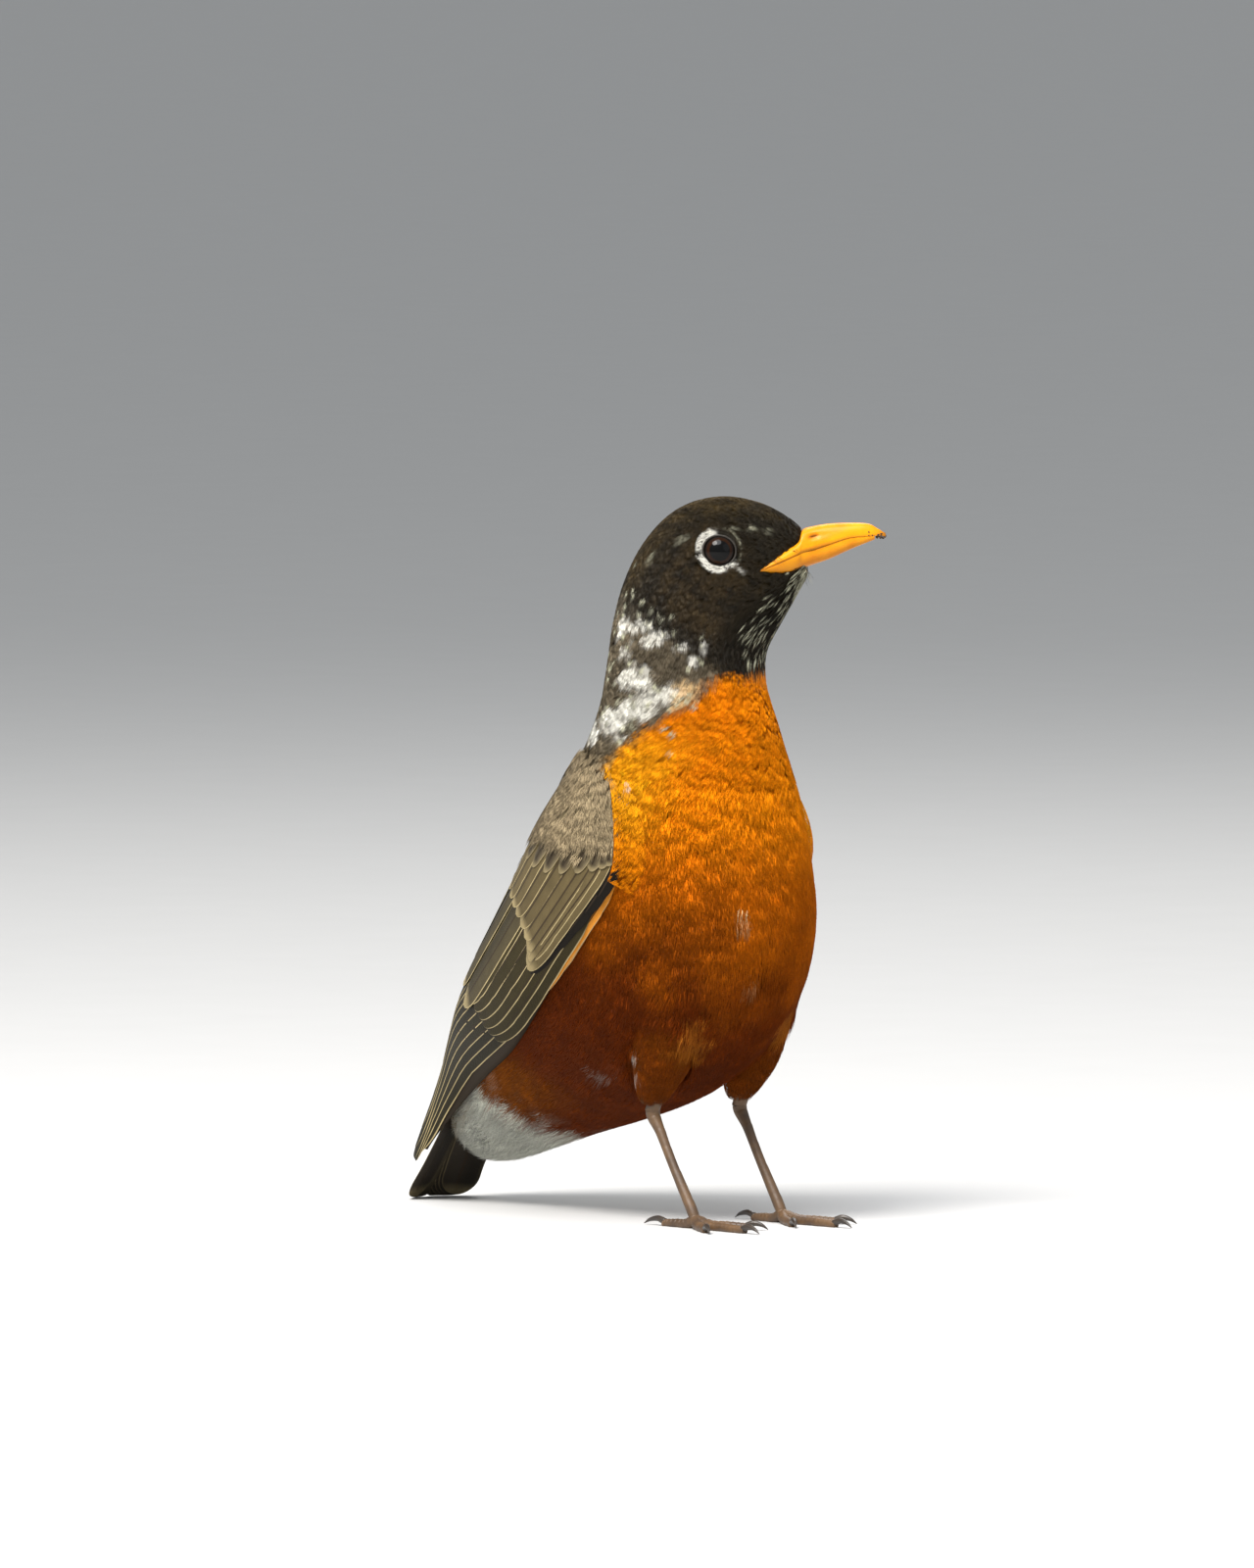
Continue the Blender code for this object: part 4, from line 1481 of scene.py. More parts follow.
@dataclass
class TuftMaker:
    """Makes the unit feathers that the coat repeats: 1 wide, 1 long and 1 high, root at the
    origin and tip along +Y, with each point's height kept as an attribute."""

    seed: int = 5
    # Of the kinds made of short barbs: how many there are, their width and their length.
    strands: dict[Plume, tuple[int, float, float]] = field(
        default_factory=lambda: {
            Plume.CONTOUR: (23, 0.074, 0.46),
            Plume.VELVET: (12, 0.115, 0.52),
            Plume.COVERT: (27, 0.066, 0.42),
        }
    )

    def build(self, plume: Plume) -> Any:
        """One unit feather.

        Args:
            plume: Its kind.

        Returns:
            The object, hidden.
        """
        self.places: list[tuple[float, float, float]] = []
        self.faces: list[tuple[int, ...]] = []
        rng = np.random.default_rng(self.seed)
        if plume in self.strands:
            self._strands(rng, *self.strands[plume])
        else:
            self._down(rng, 15)
        places = np.array(self.places)
        obj = add_object("unit_" + plume.value, places * (1, 1, 0), self.faces)
        write_attribute(obj.data, "vane", "FLOAT_VECTOR", places * (2, 1, 0))
        write_attribute(obj.data, "rise", "FLOAT", places[:, 2])
        obj.hide_render = True
        return obj

    @staticmethod
    def _height(along: float) -> float:
        """How high the feather lies at a share of its length."""
        reach = min(max(along, 0.0), 1.0)
        return 0.42 + 0.32 * min(reach / 0.3, 1.0) + 0.14 * reach

    def _spike(self, line: list[tuple[float, float, float]], width: float, thick: float) -> None:
        """One barb: a three-sided spike along a line.

        Args:
            line: Its points, the last of them its tip.
            width: Its width at the root.
            thick: Its height there.
        """
        base, count = len(self.places), len(line) - 1
        dx, dy = line[-1][0] - line[0][0], line[-1][1] - line[0][1]
        size = math.hypot(dx, dy) or 1.0
        sx, sy = dy / size, -dx / size
        for k, (x, y, z) in enumerate(line[:-1]):
            half = width / 2 * (1 - 0.45 * k)
            self.places += [
                (x - sx * half, y - sy * half, z),
                (x + sx * half, y + sy * half, z),
                (x, y, z + thick * (1 - 0.4 * k)),
            ]
        self.places.append(line[-1])
        self.faces += [tuple(base + k for k in face) for face in spike_faces(count)]

    def _strands(self, rng: Any, count: int, width: float, reach: float) -> None:
        """Overlapping barbs spread evenly over the feather, so that no edge of it shows.

        Args:
            rng: The random numbers' source.
            count: How many.
            width: Each one's width.
            reach: How long each is, as a share of the feather's length.
        """
        for number in range(count):
            q = -1 + 2 * (number + 0.5) / count
            y0 = (0.02 + (number * 0.618) % 1.0 * (0.98 - reach)) * (1 - 0.25 * q * q)
            y1 = y0 + reach * rng.uniform(0.85, 1.15)
            x0 = 0.44 * q + rng.uniform(-0.03, 0.03)
            x1 = x0 + 0.10 * q + rng.uniform(-0.07, 0.07)
            root = self._height(y0) - 0.08
            tip = self._height(y1) + rng.uniform(-0.01, 0.05)
            self._spike([(x0, y0, root), (x1, y1, tip)], width, 0.05)

    def _down(self, rng: Any, count: int) -> None:
        """Long loose barbs, curling apart.

        Args:
            rng: The random numbers' source.
            count: How many.
        """
        for q in np.linspace(-1, 1, count):
            y1 = 1.0 - 0.35 * abs(q) ** 1.5 + rng.uniform(-0.15, 0.08)
            bend = rng.uniform(-0.12, 0.12)
            high = rng.uniform(0.45, 1.05)
            line = [
                (0.12 * q, rng.uniform(0, 0.15), 0.15),
                (0.42 * q + bend * 0.3, y1 * 0.55, 0.35 + 0.35 * high),
                (0.62 * q + bend, y1, high),
            ]
            self._spike(line, 0.055, 0.08)


class CoatTree:
    """The Geometry Nodes tree that grows a coat of tufts on a surface."""

    def __init__(self) -> None:
        """Builds the tree."""
        takes = {"Ground": "Geometry", "Tuft": "Object"}
        numbers = ("Spacing", "Size", "Slim", "Spread", "Yaw", "Cling", "Patch")
        takes.update(dict.fromkeys(numbers, "Float"))
        takes.update({"Seed": "Int", "Fleck": "Color", "Finish": "Material"})
        gives = {"Coat": "Geometry"}
        self.write, self.given, end = node_group("coat_of_tufts", "GeometryNodeTree", takes, gives)
        inputs = {"Geometry": self._map(self._lay(self._scatter())), "Material": self.given["Finish"]}
        self.write.feed(end, {0: self.write.add("GeometryNodeSetMaterial", None, inputs).outputs[0]})

    def _named(self, name: str, kind: str = "FLOAT_VECTOR") -> Any:
        """The socket of a named attribute."""
        settings = {"data_type": kind}
        return self.write.add("GeometryNodeInputNamedAttribute", settings, {"Name": name}).outputs[0]

    def _random(self, seed: Any, low: float = 0.0, **more: Any) -> Any:
        """A random number from low to 1 at each point."""
        inputs = {2: low, "Seed": seed, **more}
        return self.write.add("FunctionNodeRandomValue", {"data_type": "FLOAT"}, inputs).outputs[1]

    def _vector(self, operation: str, inputs: dict) -> Any:
        """A vector worked out from others by the Vector Math node's operation."""
        return self.write.add("ShaderNodeVectorMath", {"operation": operation}, inputs).outputs[0]

    def _store(self, geometry: Any, name: str, kind: str, value: Any, domain: str = "POINT") -> Any:
        """Geometry with one more attribute.

        Args:
            geometry: The geometry's socket.
            name: The attribute's name.
            kind: Its data type.
            value: Its value.
            domain: Where it is stored.

        Returns:
            The geometry's socket.
        """
        settings = {"data_type": kind, "domain": domain}
        inputs = {"Geometry": geometry, "Name": name, "Value": value}
        return self.write.add("GeometryNodeStoreNamedAttribute", settings, inputs).outputs[0]

    def _scatter(self) -> Any:
        """Sows the tufts, then colours, sizes and turns each, and makes them real geometry.

        Returns:
            The geometry's socket.
        """
        write, given = self.write, self.given
        area = write.math("MULTIPLY", given["Spacing"], given["Spacing"])
        sown = write.add(
            "GeometryNodeDistributePointsOnFaces",
            {"distribute_method": "POISSON"},
            {
                "Mesh": given["Ground"],
                "Distance Min": write.math("MULTIPLY", given["Spacing"], 0.8),
                "Density Max": write.math("DIVIDE", 0.80, area),
                "Density Factor": self._named("density", "FLOAT"),
                "Seed": given["Seed"],
            },
        ).outputs["Points"]
        points = self._store(sown, "chance", "FLOAT", self._random(given["Seed"]))
        marked = write.math("LESS_THAN", self._random(23), self._named("fleck", "FLOAT"))
        tint = write.blend(marked, self._named("tint", "FLOAT_COLOR"), given["Fleck"])
        points = self._store(points, "tint", "FLOAT_COLOR", tint)
        luck = self._random(7, ID=write.add("GeometryNodeInputIndex").outputs[0])
        low = write.math("SUBTRACT", 1.0, given["Spread"])
        grow = write.math("MULTIPLY_ADD", luck, write.math("MULTIPLY", given["Spread"], 2.0), low)
        grow = write.math("MULTIPLY", grow, given["Size"])
        sized = write.joined(write.math("MULTIPLY", grow, given["Slim"]), grow, 1.0)
        size = self._vector("MULTIPLY", {0: self._named("tuft"), 1: sized})
        points = self._store(points, "tuft", "FLOAT_VECTOR", size)
        axes = {"primary_axis": "Z", "secondary_axis": "Y"}
        inputs = {0: self._named("out"), 1: self._named("lie")}
        aim = write.add("FunctionNodeAxesToRotation", axes, inputs).outputs[0]
        turn = write.joined(z=write.math("MULTIPLY", self._random(19, -1.0), given["Yaw"]))
        inputs = {0: aim, 1: turn}
        aim = write.add("FunctionNodeRotateRotation", {"rotation_space": "LOCAL"}, inputs).outputs[0]
        tuft = write.add("GeometryNodeObjectInfo", None, {"Object": given["Tuft"]})
        inputs = {"Points": points, "Instance": tuft.outputs["Geometry"], "Rotation": aim}
        inputs["Scale"] = self._named("tuft")
        many = write.add("GeometryNodeInstanceOnPoints", None, inputs).outputs[0]
        return write.add("GeometryNodeRealizeInstances", None, {"Geometry": many}).outputs[0]

    def _nearest(self, value: Any, place: Any) -> Any:
        """A value of the ground at the point nearest to a place.

        Args:
            value: The value's socket, read on the ground.
            place: The place's socket.

        Returns:
            The value's socket.
        """
        inputs = {"Mesh": self.given["Ground"], "Value": value, "Sample Position": place}
        settings = {"data_type": "FLOAT_VECTOR"}
        return self.write.add("GeometryNodeSampleNearestSurface", settings, inputs).outputs[0]

    def _lay(self, coat: Any) -> Any:
        """Bends each tuft round the ground and lifts it to its height.

        Args:
            coat: The realized tufts.

        Returns:
            The geometry's socket.
        """
        write = self.write
        place = write.add("GeometryNodeInputPosition").outputs[0]
        bed, out = self._nearest(place, place), self._nearest(self._named("out"), place)
        inputs = {0: self.given["Cling"], 4: place, 5: bed}
        held = write.add("ShaderNodeMix", {"data_type": "VECTOR"}, inputs).outputs[1]
        depth = write.split(self._named("tuft"))[2]
        height = write.math("MULTIPLY", self._named("rise", "FLOAT"), depth)
        lifted = self._vector("SCALE", {0: self._vector("NORMALIZE", {0: out}), "Scale": height})
        inputs = {"Geometry": coat, "Position": self._vector("ADD", {0: held, 1: lifted})}
        return write.add("GeometryNodeSetPosition", None, inputs).outputs[0]

    def _map(self, coat: Any) -> Any:
        """Maps each tuft to a small patch at its root's place on the ground's unwrap.

        Args:
            coat: The tufts.

        Returns:
            The geometry's socket.
        """
        write, patch = self.write, self.given["Patch"]
        around, vane = write.split(self._named("around")), write.split(self._named("vane"))
        angle = write.math("ARCTAN2", around[1], around[0])
        u = write.math("MULTIPLY_ADD", angle, 0.5 / math.pi, 0.5)
        u = write.math("MULTIPLY_ADD", vane[0], write.math("MULTIPLY", patch, 0.5), u)
        v = write.math("MULTIPLY_ADD", vane[1], patch, around[2])
        return self._store(coat, "OFBake", "FLOAT2", write.joined(u, v), "CORNER")

    def grow(self, name: str, ground: Any, density: Array, tuft: Any, finish: Any, **sizes: Any) -> Any:
        """Grows one piece of the coat.

        Args:
            name: The piece's name.
            ground: The surface, with the coat's attributes on its points.
            density: From 0 to 1, where it grows.
            tuft: The unit feather.
            finish: The material.
            sizes: Values of the tree's other inputs, by name.

        Returns:
            The piece, a plain mesh.
        """
        write_attribute(ground.data, "density", "FLOAT", density)
        values = {"Size": 1.0, "Slim": 1.0, "Spread": 0.16, "Yaw": 0.2, "Cling": 1.0}
        values.update({"Patch": PATCH, "Fleck": (*PALETTE.streak, 1.0)})
        values.update({**sizes, "Tuft": tuft, "Finish": finish})
        values["Spacing"] *= MM
        modifier = ground.modifiers.new("coat", "NODES")
        modifier.node_group = self.write.tree
        for item in self.write.tree.interface.items_tree:
            if item.in_out == "INPUT" and item.name in values:
                modifier[item.identifier] = values[item.name]
        graph = bpy.context.evaluated_depsgraph_get()
        mesh = bpy.data.meshes.new_from_object(
            ground.evaluated_get(graph), preserve_all_data_layers=True, depsgraph=graph
        )
        ground.modifiers.remove(modifier)
        drop_attributes(mesh, "out", "lie", "tuft", "around", "density", "rise", "fleck")
        return add_mesh(name, mesh)


# ---------------------------------------------------------------- wings and tail


@dataclass
class Chart:
    """A smooth sheet of places, read by two numbers along and across it."""

    grid: Array
    last: float
    low: float = 0.0
    high: float = 1.0
    hand: float = 1.0

    def __post_init__(self) -> None:
        """Works out the sheet's slopes."""
        rows, columns = self.grid.shape[:2]
        self.rows, self.columns = rows, columns
        self.along = np.gradient(self.grid, axis=0) * (rows - 1) / self.last
        self.across = np.gradient(self.grid, axis=1) * (columns - 1) / (self.high - self.low)

    def _read(self, table: Array, t: Array, f: Array) -> Array:
        """A table's values between its points, and a little past its edges.

        Args:
            table: The values at the chart's points.
            t: How far along each reading is.
            f: How far across each reading is.

        Returns:
            One value for each reading.
        """
        x = np.asarray(t) / self.last * (self.rows - 1)
        y = (np.asarray(f) - self.low) / (self.high - self.low) * (self.columns - 1)
        i = np.clip(np.floor(x).astype(int), 0, self.rows - 2)
        j = np.clip(np.floor(y).astype(int), 0, self.columns - 2)
        u, v = (x - i)[..., None], (y - j)[..., None]
        one = table[i, j] * (1 - v) + table[i, j + 1] * v
        two = table[i + 1, j] * (1 - v) + table[i + 1, j + 1] * v
        return one * (1 - u) + two * u

    def place(self, t: Array, f: Array) -> Array:
        """The places at (t, f)."""
        return self._read(self.grid, t, f)

    def out(self, t: Array, f: Array) -> Array:
        """The directions out of the sheet at (t, f)."""
        along, across = self._read(self.along, t, f), self._read(self.across, t, f)
        return unit(np.cross(across, along)) * self.hand

    def aside(self, t: Array, f: Array, course: Array, shift: Array) -> tuple[Array, Array]:
        """Moves places sideways over the sheet.

        Args:
            t: Where they are.
            f: Where they are, across.
            course: The direction that they are to be moved square to.
            shift: How far, in metres, positive across the sheet.

        Returns:
            Their new (t, f).
        """
        along, across = self._read(self.along, t, f), self._read(self.across, t, f)
        side = np.cross(unit(course), self.out(t, f))
        side *= np.sign((side * across).sum(-1, keepdims=True))
        move = side * np.asarray(shift)[..., None]
        aa, ab, bb = ((p * q).sum(-1) for p, q in ((along, along), (along, across), (across, across)))
        pa, pb = (move * along).sum(-1), (move * across).sum(-1)
        fixed = np.maximum(aa * bb - ab * ab, 1e-14)
        return t + (pa * bb - pb * ab) / fixed, f + (pb * aa - pa * ab) / fixed


@dataclass(frozen=True)
class Quill:
    """One large feather: its root and tip on the chart, its half-widths towards the lower and
    upper edge, how far it lies under the chart's surface, its colour and its pale edge."""

    root: tuple[float, float]
    tip: tuple[float, float]
    lower: float
    upper: float
    sink: float
    colour: Colour
    pale: float = 0.8
    bow: float = 0.0
    round: float = 0.2
    dark: float = 0.0
    tipped: float = 0.0


@dataclass
class VaneMaker:
    """Makes large feathers as thin closed vanes with a raised shaft, lying on a chart."""

    rows: int = 30
    places_across: tuple[float, ...] = (
        -1.0, -0.955, -0.90, -0.5, -0.05, 0.0, 0.05, 0.45, 0.8, 0.95, 1.0
    )
    thick: float = 0.10
    shaft: float = 0.12
    camber: tuple[float, float] = (0.05, 0.34)

    def build(self, name: str, chart: Chart, quills: list[Quill], material: Any, seed: int) -> Any:
        """One object that holds several feathers.

        Args:
            name: Its name.
            chart: The sheet that they lie on.
            quills: The feathers.
            material: Their material.
            seed: Of their small differences.

        Returns:
            The object.
        """
        rng = np.random.default_rng(seed)
        along = 1 - (1 - np.linspace(0, 1, self.rows)) ** 1.7
        s, x = np.meshgrid(along, np.array(self.places_across), indexing="ij")
        places, vanes, tints, rims, maps = [], [], [], [], []
        tiles = math.ceil(math.sqrt(len(quills)))
        for number, quill in enumerate(quills):
            places += self._sheets(chart, quill, s, x, rng)
            vanes += [np.stack([x, s, np.full_like(x, number)], -1).reshape(-1, 3)] * 2
            tint, rim = self._dress(quill, s, x, rng)
            tints += [tint, tint * 0.8]
            rims += [rim, rim * 0.4]
            tile = np.array([number % tiles, number // tiles])
            spot = np.stack([0.06 + 0.44 * (x + 1), 0.06 + 0.88 * s], -1).reshape(-1, 2)
            maps += [(spot + tile) / tiles] * 2
        spots = np.concatenate(places)
        one = outward(spots[: 2 * s.size], slab_faces(*s.shape))
        faces = [
            tuple(number * 2 * s.size + k for k in face)
            for number in range(len(quills)) for face in one
        ]
        obj = add_object(name, spots, faces, material)
        write_attribute(obj.data, "vane", "FLOAT_VECTOR", np.concatenate(vanes))
        write_attribute(obj.data, "tint", "FLOAT_COLOR", np.concatenate(tints))
        write_attribute(obj.data, "fringe", "FLOAT", np.concatenate(rims))
        self._unwrap(obj.data, np.concatenate(maps))
        obj.data.set_sharp_from_angle(angle=math.radians(50))
        return obj

    @staticmethod
    def _unwrap(mesh: Any, spots: Array) -> None:
        """Gives a mesh its OFBake map, from a place for each point.

        Args:
            mesh: The mesh.
            spots: The place on the map for each of its points.
        """
        layer = mesh.uv_layers.new(name="OFBake")
        loops = np.zeros(len(mesh.loops), np.int32)
        mesh.loops.foreach_get("vertex_index", loops)
        layer.data.foreach_set("uv", spots[loops].astype(np.float32).ravel())

    def _sheets(self, chart: Chart, quill: Quill, s: Array, x: Array, rng: Any) -> list[Array]:
        """The upper and lower sheets of one feather.

        Args:
            chart: The sheet it lies on.
            quill: The feather.
            s: Shares of its length.
            x: Shares of its half-width.
            rng: The random numbers' source.

        Returns:
            The places of each.
        """
        t = quill.root[0] + (quill.tip[0] - quill.root[0]) * s
        f = quill.root[1] + (quill.tip[1] - quill.root[1]) * s + quill.bow * np.sin(math.pi * s)
        middle = self.places_across.index(0.0)
        line = chart.place(t[:, middle], f[:, middle])
        course = np.gradient(line, axis=0)[:, None, :] * np.ones((1, s.shape[1], 1))
        grow = np.clip(s / 0.22, 0.12, 1.0) ** 0.6
        end = np.clip((s - 1 + quill.round) / quill.round, 0, 1)
        taper = np.sqrt(np.clip(1 - end**2.2, 0.004, 1))
        wave = 1 + 0.012 * np.sin(s * rng.uniform(24, 40) + rng.uniform(0, 6))
        notch = 1 - 0.05 * np.exp(-(((s - rng.uniform(0.55, 0.9)) / 0.012) ** 2))
        half = np.where(x < 0, quill.lower * notch, quill.upper) * grow * taper * wave
        t, f = chart.aside(t, f, course, x * half * MM)
        place, out = chart.place(t, f), chart.out(t, f)
        height = -quill.sink * ramp(0, 0.12, s + 0.05) - 0.8 * (1 - ramp(0, 0.25, s))
        height = height - np.where(x < 0, *self.camber) * np.abs(x) ** 2.2
        height = height + self.shaft * (np.abs(x) < 0.02) * (1 - s)
        low = height - self.thick * (1.15 - 0.6 * np.abs(x))
        return [(place + out * (h * MM)[..., None]).reshape(-1, 3) for h in (height, low)]

    @staticmethod
    def _dress(quill: Quill, s: Array, x: Array, rng: Any) -> tuple[Array, Array]:
        """The colours and pale edge of one feather.

        Args:
            quill: The feather.
            s: Shares of its length.
            x: Shares of its half-width.
            rng: The random numbers' source.

        Returns:
            A colour and an edge strength for each point.
        """
        tint = np.asarray(quill.colour) * rng.uniform(0.88, 1.12) * np.ones((*s.shape, 3))
        inner = ramp(-0.25, 0.35, x)
        tint = tint * (1 - 0.45 * inner)[..., None]
        blot = quill.dark * ramp(0.45, 0.75, s) * ramp(0.75, 0.2, np.abs(x + 0.1))
        tint = mix(tint, (0.020, 0.014, 0.009), blot)
        rim = quill.pale * (x < -0.93) * ramp(0.1, 0.3, s)
        rim = rim + quill.pale * 0.35 * (x > 0.93)
        rim = np.maximum(rim, quill.tipped * ramp(0.93, 0.985, s))
        return tint.reshape(-1, 3), np.clip(rim, 0, 1).reshape(-1)


@dataclass(frozen=True)
class QuillRow:
    """One row of feathers in a wing, outermost first. Pairs are for its first and last."""

    name: str
    count: int
    roots: tuple[tuple[float, float], tuple[float, float]]
    tips: tuple[tuple[float, float], ...]
    lower: tuple[float, float]
    upper: tuple[float, float]
    sink: tuple[float, float]
    colour: Colour
    pale: float = 0.8
    bow: float = 0.0
    round: float = 0.2
    dark: float = 0.0
    tipped: float = 0.0

    def quills(self) -> list[Quill]:
        """The row's feathers.

        Returns:
            The feathers, from the row's first to its last.
        """
        made = []
        for share in np.linspace(0, 1, self.count):
            root, lower, upper, sink = (
                np.array(first) * (1 - share) + np.array(last) * share
                for first, last in (self.roots, self.lower, self.upper, self.sink)
            )
            tip = smooth(self.tips, share * (len(self.tips) - 1))
            look = (self.colour, self.pale, self.bow, self.round, self.dark, self.tipped)
            made.append(Quill(tuple(root), tuple(tip), lower, upper, sink, *look))
        return made


@dataclass
class Wing:
    """A folded wing: an under plate, its rows of vanes, and the small coverts that cover them."""

    side: Side
    lower: list[tuple[float, float, float]] = field(
        default_factory=lambda: [
            (-24.4, 18.5, 115.0), (-27.8, 10.9, 108.0), (-30.6, 6.4, 98.0), (-31.6, 6.4, 87.5),
            (-33.2, 14.0, 76.0), (-32.5, 25.0, 64.0), (-29.5, 39.0, 50.5), (-23.5, 56.0, 39.0),
            (-19.0, 71.0, 32.4), (-16.2, 84.0, 25.8), (-14.6, 97.0, 17.2), (-13.4, 106.0, 9.6),
        ]
    )
    upper: list[tuple[float, float, float]] = field(
        default_factory=lambda: [
            (-19.0, 27.5, 118.6), (-15.8, 37.0, 112.4), (-12.0, 47.2, 104.5), (-9.0, 55.6, 96.5),
            (-6.8, 63.4, 86.6), (-4.8, 72.2, 76.4), (-3.6, 81.0, 66.4), (-3.4, 89.0, 56.0),
            (-4.2, 96.0, 45.0), (-6.2, 102.0, 33.8), (-9.0, 107.4, 22.0), (-11.8, 111.8, 10.6),
        ]
    )
    rows: list[QuillRow] = field(
        default_factory=lambda: [
            QuillRow(
                "underwing", 2, ((3.1, 0.0), (3.4, -0.01)), ((5.3, 0.02), (5.7, 0.045)),
                (1.6, 1.6), (2.4, 2.4), (1.95, 1.8), (0.72, 0.27, 0.03), 1.0, tipped=0.9,
            ),
            QuillRow(
                "primaries", 9, ((4.0, 0.07), (4.4, 0.42)),
                ((10.75, 0.24), (11.0, 0.42), (10.9, 0.6), (10.3, 0.76), (9.2, 0.82), (8.1, 0.80)),
                (3.4, 4.6), (4.6, 5.6), (1.75, 1.25), (0.018, 0.015, 0.007), 1.0,
            ),
            QuillRow(
                "secondaries", 6, ((3.6, 0.10), (3.4, 0.48)),
                ((6.95, 0.12), (6.85, 0.22), (6.7, 0.32), (6.6, 0.42)),
                (3.8, 4.4), (5.6, 6.0), (1.25, 0.95), (0.030, 0.023, 0.008), 0.95,
            ),
            QuillRow(
                "inner_secondaries", 5, ((4.0, 0.62), (4.0, 0.99)),
                ((8.6, 0.66), (8.7, 0.76), (8.6, 0.85), (8.2, 0.93), (7.6, 0.985)),
                (4.6, 3.2), (4.6, 2.2), (1.30, 1.0), (0.035, 0.028, 0.012), 0.9,
            ),
            QuillRow(
                "tertials", 4, ((3.0, 0.50), (2.8, 0.88)),
                ((6.75, 0.45), (6.5, 0.6), (6.1, 0.76), (5.4, 0.90)),
                (4.6, 5.6), (5.4, 5.6), (0.86, 0.56), (0.058, 0.046, 0.023), 1.0, 0.0, 0.16,
                0.0, 0.7,
            ),
            QuillRow(
                "primary_coverts", 5, ((2.3, 0.06), (2.3, 0.03)),
                ((5.5, 0.19), (5.0, 0.15), (4.5, 0.11), (4.0, 0.075), (3.6, 0.05)),
                (2.8, 2.2), (4.4, 3.6), (1.15, 0.85), (0.008, 0.006, 0.004), 0.0,
            ),
            QuillRow(
                "greater_coverts", 11, ((2.1, 0.13), (2.0, 0.80)),
                ((5.45, 0.22), (5.2, 0.28), (4.95, 0.37), (4.7, 0.48), (4.5, 0.58), (4.3, 0.7),
                 (4.0, 0.8)),
                (3.4, 4.4), (5.0, 5.2), (0.80, 0.50), (0.098, 0.073, 0.033), 0.85, 0.012, 0.16,
                0.0, 0.5,
            ),
            QuillRow(
                "median_coverts", 10, ((0.9, 0.09), (1.1, 0.80)),
                ((2.95, 0.10), (3.2, 0.2), (3.5, 0.35), (3.7, 0.5), (3.6, 0.65), (3.4, 0.78)),
                (3.0, 3.8), (3.6, 4.0), (0.46, 0.36), (0.152, 0.120, 0.068), 0.35, 0.0, 0.3,
                0.85, 0.35,
            ),
        ]
    )

    def chart(self, solid: Any) -> Chart:
        """The wing's outer surface.

        Args:
            solid: The CAD wing.

        Returns:
            The chart, along the wing from 0 to 11 and across it from 0 to 1.
        """
        tree, last = tree_of(solid), len(self.lower) - 1
        hand = -float(self.side.value)
        mirror = np.array([hand, 1.0, 1.0])
        t, across = np.linspace(0, last, 111), np.linspace(0, 1, 41)
        low, high = smooth(self.lower, t), smooth(self.upper, t)
        grid = np.zeros((len(t), len(across), 3))
        for j, f in enumerate(across):
            spots = low + (high - low) * f
            inside = np.stack([0 * t, 25 + (110 - spots[:, 2]) * 0.55, spots[:, 2] - 4.0], -1)
            for i in range(len(t)):
                start, spot = standing(inside[i] * mirror), standing(spots[i] * mirror)
                way = unit(spot - start)
                hit = tree.ray_cast(Vector(spot + way * 0.02), Vector(-way), 0.035)[0]
                grid[i, j] = hit if hit is not None else tree.find_nearest(Vector(spot))[0]
        for _ in range(10):
            grid[1:-1] += (grid[:-2] + grid[2:] - 2 * grid[1:-1]) * 0.25
            grid[:, 1:-1] += (grid[:, :-2] + grid[:, 2:] - 2 * grid[:, 1:-1]) * 0.25
        return Chart(grid, float(last), hand=hand)

    def build(
        self, solid: Any, skin: Skin, coats: CoatTree, covert: Any, tuft: Any, finishes: Finishes
    ) -> None:
        """Makes the wing's pieces and hands them over.

        Args:
            solid: The CAD wing.
            skin: The body's skin.
            coats: The tree that grows the small coverts.
            covert: The unit feather for them.
            tuft: The unit feather of the breast, whose edge laps over the wing.
            finishes: The materials.
        """
        chart = self.chart(solid)
        name = self.side.label
        hand_over(self._plate(chart, finishes.vane), "vanes", "wing_" + name)
        maker = VaneMaker()
        for number, row in enumerate(self.rows, 40):
            piece = maker.build(f"{row.name}_{name}", chart, row.quills(), finishes.vane, number)
            hand_over(piece, "vanes", "wing_" + name)
        ground = self._ground(chart)
        t, f = self.spots
        seed = 60 if self.side is Side.RIGHT else 80
        start = ramp(0.12, 0.34, t)
        lesser = start * ramp(2.75, 2.2, t - 0.9 * f) * ramp(0.93, 0.86, f)
        upper = start * ramp(0.70, 0.78, f - 0.03 * t) * ramp(5.2, 4.6, t)
        pieces = (
            ("lesser_coverts_", lesser, tuft, {"Spacing": 1.2, "Size": 0.78, "Yaw": 0.16}),
            ("scapulars_", upper, covert, {"Spacing": 1.5, "Size": 1.15, "Yaw": 0.12}),
        )
        for number, (title, where, unit_feather, sizes) in enumerate(pieces):
            sizes["Seed"] = seed + number
            piece = coats.grow(title + name, ground, where, unit_feather, finishes.covert, **sizes)
            hand_over(piece, "plumage", "wing_" + name)
        bpy.data.objects.remove(ground)
        edges = (("breast_edge_", finishes.body), ("back_edge_", finishes.covert))
        for rear, (title, finish) in enumerate(edges):
            ground = self._edge(chart, skin, bool(rear))
            everywhere = np.ones(len(ground.data.vertices))
            sizes = {"Spacing": 1.05, "Yaw": 0.25, "Seed": seed + 2 + rear}
            piece = coats.grow(title + name, ground, everywhere, tuft, finish, **sizes)
            hand_over(piece, "plumage", "wing_" + name)
            bpy.data.objects.remove(ground)

